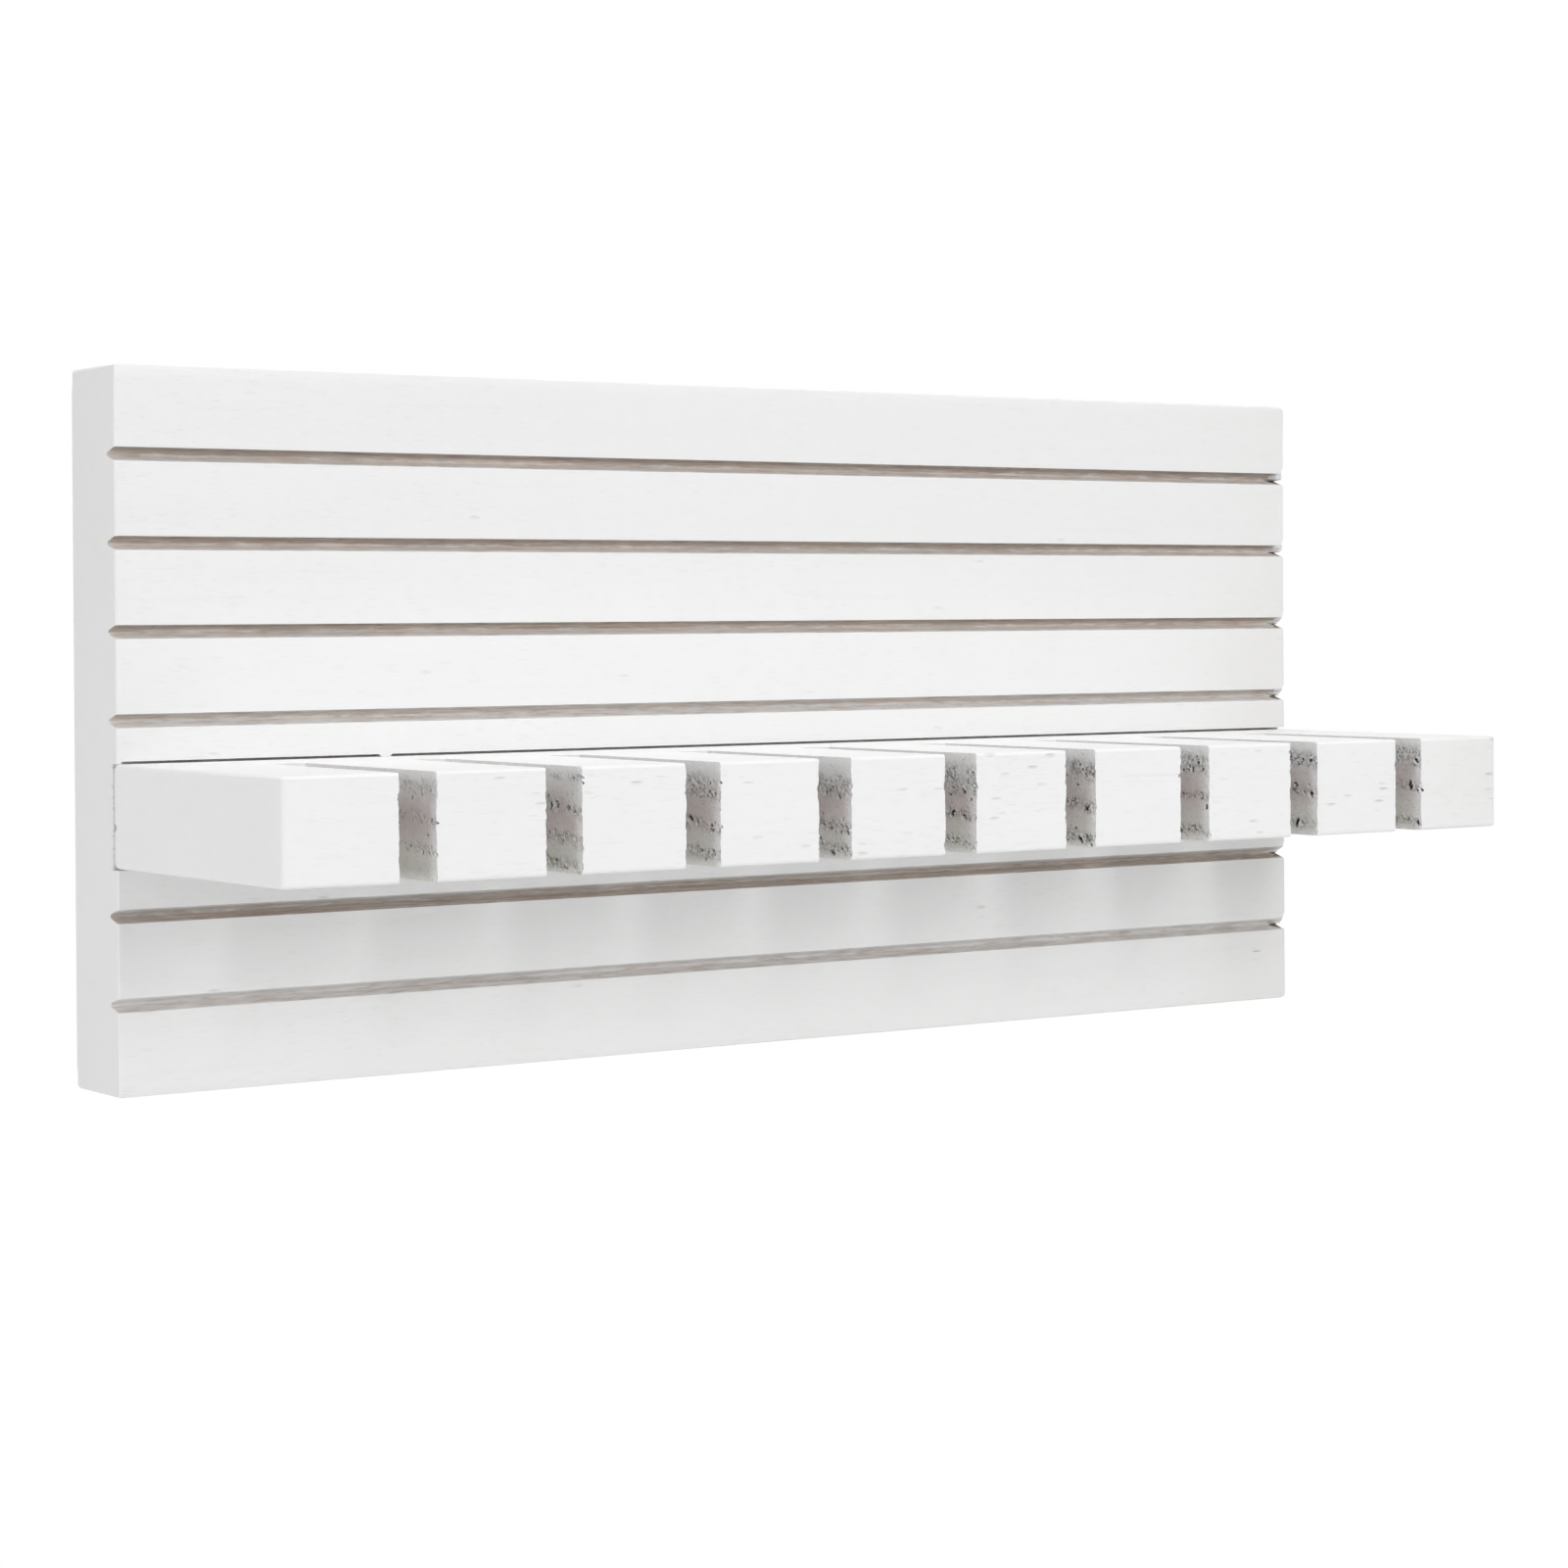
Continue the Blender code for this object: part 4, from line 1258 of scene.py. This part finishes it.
def sawn_material(finish):
    """Sawn end grain in the slots: rosy heart and torn brown bands, paler towards the front, thin paint at the
    foot, painted light towards the top, painted shade in the pits and painted highlights on the curls and
    flakes.
    """
    material, tree, shader, position = start_material("sawn_end_grain")
    torn, bands, flake = (mask(tree, name) for name in ("torn", "open_grain", "flake"))
    x, y, z = split(position)
    below = RAIL_HIGH.z - z
    patches = noise(position, (55.0, 170.0, 150.0), 3.0, 0.6)
    level = below + (patches - 0.5) * (14.0 * MM)
    slanted = join(x, z * -0.45 + y, z)
    flecks = noise(slanted, (300.0, 2300.0, 1200.0), 2.0, 0.6)
    fine = noise(slanted, (400.0, 2800.0, 1900.0), 2.0, 0.6)
    curl = noise(slanted, (300.0, 640.0, 560.0), 1.0)

    heart = level.ramp(2.0 * MM, 9.0 * MM) * level.ramp(17.0 * MM, 10.5 * MM)
    # Paler towards the slot's front, painted light towards the top where light falls in from above, and thin
    # paint at the foot
    paler_front = (y + patches * (2.0 * MM)).ramp(RAIL_LOW.y + 4.6 * MM, RAIL_LOW.y + 1.8 * MM, 0.0, 0.8)
    painted_top_light = below.ramp(7.0 * MM, 0.9 * MM, 0.0, 0.95)
    foot = below.ramp(18.4 * MM, 19.9 * MM, 0.0, 0.5)
    thin = paler_front.or_more(painted_top_light).or_more(foot) * fine.ramp(0.68, 0.45, 0.55, 1.0)
    # Painted shade and painted highlights side by side along the curled fibres, and painted highlights on the
    # loose flakes
    curl_shade = bands * abs(curl - 0.5).ramp(0.05, 0.015, 0.0, 0.5)
    curl_highlights = bands * abs(curl - 0.585).ramp(0.05, 0.015, 0.0, 0.8)
    painted_highlights = curl_highlights.or_more(flake.ramp(0.15, 0.6, 0.0, 0.95))

    wood = coats(
        finish.sawn_light,
        (heart, finish.sawn_pink),
        (level.ramp(11.5 * MM, 17.5 * MM, 0.0, 0.85), finish.sawn_moss),
        (fine.ramp(0.50, 0.75, 0.0, 0.30), finish.sawn_brown),
        (thin, finish.rail_paint),
        (bands * flecks.ramp(0.51, 0.58, 0.0, 0.8), finish.sawn_brown),
        (bands * flecks.ramp(0.45, 0.37, 0.0, 0.95), finish.rail_paint),
        # Painted shade along the curled fibres and in the torn pits
        (curl_shade, finish.sawn_shade),
        (torn.ramp(0.10, 0.42), finish.sawn_shade),
        (painted_highlights, finish.rail_paint),
    )
    wire(tree, shader, {
        "Base Color": wood, "Roughness": 0.9, "Specular IOR Level": 0.15,
        "Normal": bump(flecks * -1.5 + fine + (painted_highlights - curl_shade), 0.14 * MM),
    })
    return material


def plated_material(name, base, roughness):
    """Zinc plate: soft cloudiness, fine scratches in all directions and duller patches."""
    material, tree, shader, position = start_material(name)
    cloud = noise(position, (420.0, 420.0, 420.0), 3.0)
    grit = noise(position, (5200.0, 5200.0, 5200.0))
    scratch = noise(position, (5200.0, 5200.0, 160.0))
    dull = tuple(0.72 * part for part in base)
    wire(tree, shader, {
        "Base Color": coats(base, (cloud.ramp(0.35, 0.7), dull)),
        "Roughness": cloud.ramp(0.3, 0.7, roughness, roughness + 0.14) + grit.ramp(0.5, 0.8, 0.0, 0.08),
        "Metallic": 1.0,
        "Normal": bump(scratch + grit * 0.5, 0.008 * MM),
    })
    return material


# Stage

WHITE = (1.0, 1.0, 1.0, 1.0)
LIGHT_AIM = (0.0, -0.03, 0.0)
# Place and size of each softbox, in metres
SOFTBOXES = {
    "front": ((0.22, -1.40, 0.49), (0.45, 0.55)),
    "over": ((0.0, -0.15, 1.1), (0.7, 0.7)),
    "left": ((-1.1, 0.0, 0.0), (0.7, 0.7)),
    "left_front": ((-0.76, -0.64, 0.46), (0.7, 0.7)),
    "right_front": ((0.75, -0.75, 0.28), (0.7, 0.7)),
    "low": ((0.12, -1.05, -0.21), (0.8, 0.35)),
    "back": ((0.3, 1.2, 0.5), (0.9, 0.7)),
}


def softbox(name, spot, size, watts):
    """A soft rectangular light that points at the rack and doesn't show itself."""
    data = bpy.data.lights.new(name, "AREA")
    data.shape = "RECTANGLE"
    data.size, data.size_y = size
    data.energy = watts
    lamp = link(name, data)
    lamp.location = spot
    lamp.rotation_euler = (Vector(LIGHT_AIM) - Vector(spot)).to_track_quat("-Z", "Y").to_euler()
    lamp.visible_camera = False


def seen_as_white(tree):
    """One for rays that show the background: straight to the camera, in gloss or through glass."""
    path = add(tree, "ShaderNodeLightPath").outputs
    seen = Value(tree, path["Is Camera Ray"]).or_more(Value(tree, path["Is Glossy Ray"]))
    return seen.or_more(Value(tree, path["Is Transmission Ray"]))


def mix_shaders(tree, share, first, second):
    """One shader's light where the share is nothing, and another's where it is all."""
    inputs = {0: share, 1: Value(tree, first.outputs[0]), 2: Value(tree, second.outputs[0])}
    return Value(tree, add(tree, "ShaderNodeMixShader", inputs).outputs[0])


class BELTRACK_OT_stage(bpy.types.Operator):
    """Set up the camera, the pale floor, the sky light and the softboxes"""

    bl_idname = "beltrack.stage"
    bl_label = "Stage"

    def execute(self, context):
        stage = context.scene.belt_rack_stage
        self.camera(context, stage)
        self.sky(context, stage)
        self.floor(stage)
        for name, (spot, size) in SOFTBOXES.items():
            softbox(f"{name}_softbox", spot, size, getattr(stage, name))
        context.scene.view_settings.view_transform = "Standard"
        return {"FINISHED"}

    def camera(self, context, stage):
        data = bpy.data.cameras.new("photo_camera")
        data.lens = stage.lens
        data.sensor_width = 36.0
        data.shift_y = stage.rise
        data.clip_start = 0.01
        camera = link("photo_camera", data)
        camera.location = stage.eye
        camera.rotation_euler = (stage.tilt, stage.roll, stage.heading)
        context.scene.camera = camera

    def sky(self, context, stage):
        """Even sky light, behind a background that shows as white."""
        world = bpy.data.worlds.new("studio")
        world.use_nodes = True
        tree = world.node_tree
        tree.nodes.clear()
        light = add(tree, "ShaderNodeBackground", {"Color": WHITE, "Strength": stage.ambient})
        white = add(tree, "ShaderNodeBackground", {"Color": WHITE, "Strength": 1.0})
        mixed = mix_shaders(tree, seen_as_white(tree), light, white)
        add(tree, "ShaderNodeOutputWorld", {"Surface": mixed})
        context.scene.world = world

    def floor(self, stage):
        """A pale floor that keeps the rack's shadow and fades to white towards its rim."""
        bpy.ops.object.select_all(action="DESELECT")
        bpy.ops.mesh.primitive_circle_add(
            vertices=96, radius=stage.floor_radius, fill_type="NGON", location=(0, 0, -stage.floor_drop)
        )
        floor = bpy.context.object
        floor.name = "floor"
        bpy.ops.object.transform_apply(location=True, rotation=True, scale=True)
        material, tree, shader, position = start_material("pale_floor")
        wire(tree, shader, {"Base Color": (*stage.floor, 1.0), "Roughness": 0.85, "Specular IOR Level": 0.1})
        x, y, _ = split(position)
        far = add(tree, "ShaderNodeVectorMath", {0: join(x, y)}, operation="LENGTH").outputs["Value"]
        fade_start = 0.35 * stage.floor_radius
        fade_end = 0.9 * stage.floor_radius
        fade = Value(tree, far).ramp(fade_start, fade_end, 0.25, 1.0)
        glow = add(tree, "ShaderNodeEmission", {"Color": WHITE, "Strength": 1.0})
        mixed = mix_shaders(tree, fade * seen_as_white(tree), shader, glow)
        wire(tree, tree.nodes["Material Output"], {"Surface": mixed})
        floor.data.materials.append(material)


OPERATORS = (
    BELTRACK_OT_backboard,
    BELTRACK_OT_belt_rail,
    BELTRACK_OT_rail_screws,
    BELTRACK_OT_keyhole_hangers,
    BELTRACK_OT_hanger_screws,
    BELTRACK_OT_stage,
)
SETTINGS = {
    "belt_rack_finish": BeltRackFinish,
    "belt_rack_board": BeltRackBoard,
    "belt_rack_slots": BeltRackSlots,
    "belt_rack_fixings": BeltRackFixings,
    "belt_rack_stage": BeltRackStage,
}


class BELTRACK_PT_panel(bpy.types.Panel):
    """Lists the rack's pieces and the settings that shape them"""

    bl_idname = "BELTRACK_PT_panel"
    bl_label = "Belt Rack"
    bl_space_type = "VIEW_3D"
    bl_region_type = "UI"
    bl_category = "Belt Rack"

    def draw(self, context):
        for operator in OPERATORS:
            self.layout.operator(operator.bl_idname)
        for name in SETTINGS:
            group = getattr(context.scene, name)
            box = self.layout.box()
            for setting in group.__annotations__:
                box.prop(group, setting)


def register():
    for name, group in SETTINGS.items():
        bpy.utils.register_class(group)
        setattr(bpy.types.Scene, name, PointerProperty(type=group))
    for kind in (*OPERATORS, BELTRACK_PT_panel):
        bpy.utils.register_class(kind)


def unregister():
    for kind in (BELTRACK_PT_panel, *reversed(OPERATORS)):
        bpy.utils.unregister_class(kind)
    for name, group in SETTINGS.items():
        delattr(bpy.types.Scene, name)
        bpy.utils.unregister_class(group)


def main():
    register()
    bpy.ops.beltrack.backboard()
    bpy.ops.beltrack.belt_rail()
    bpy.ops.beltrack.rail_screws()
    bpy.ops.beltrack.keyhole_hangers()
    bpy.ops.beltrack.hanger_screws()
    bpy.ops.beltrack.stage()


if __name__ == "__main__":
    main()
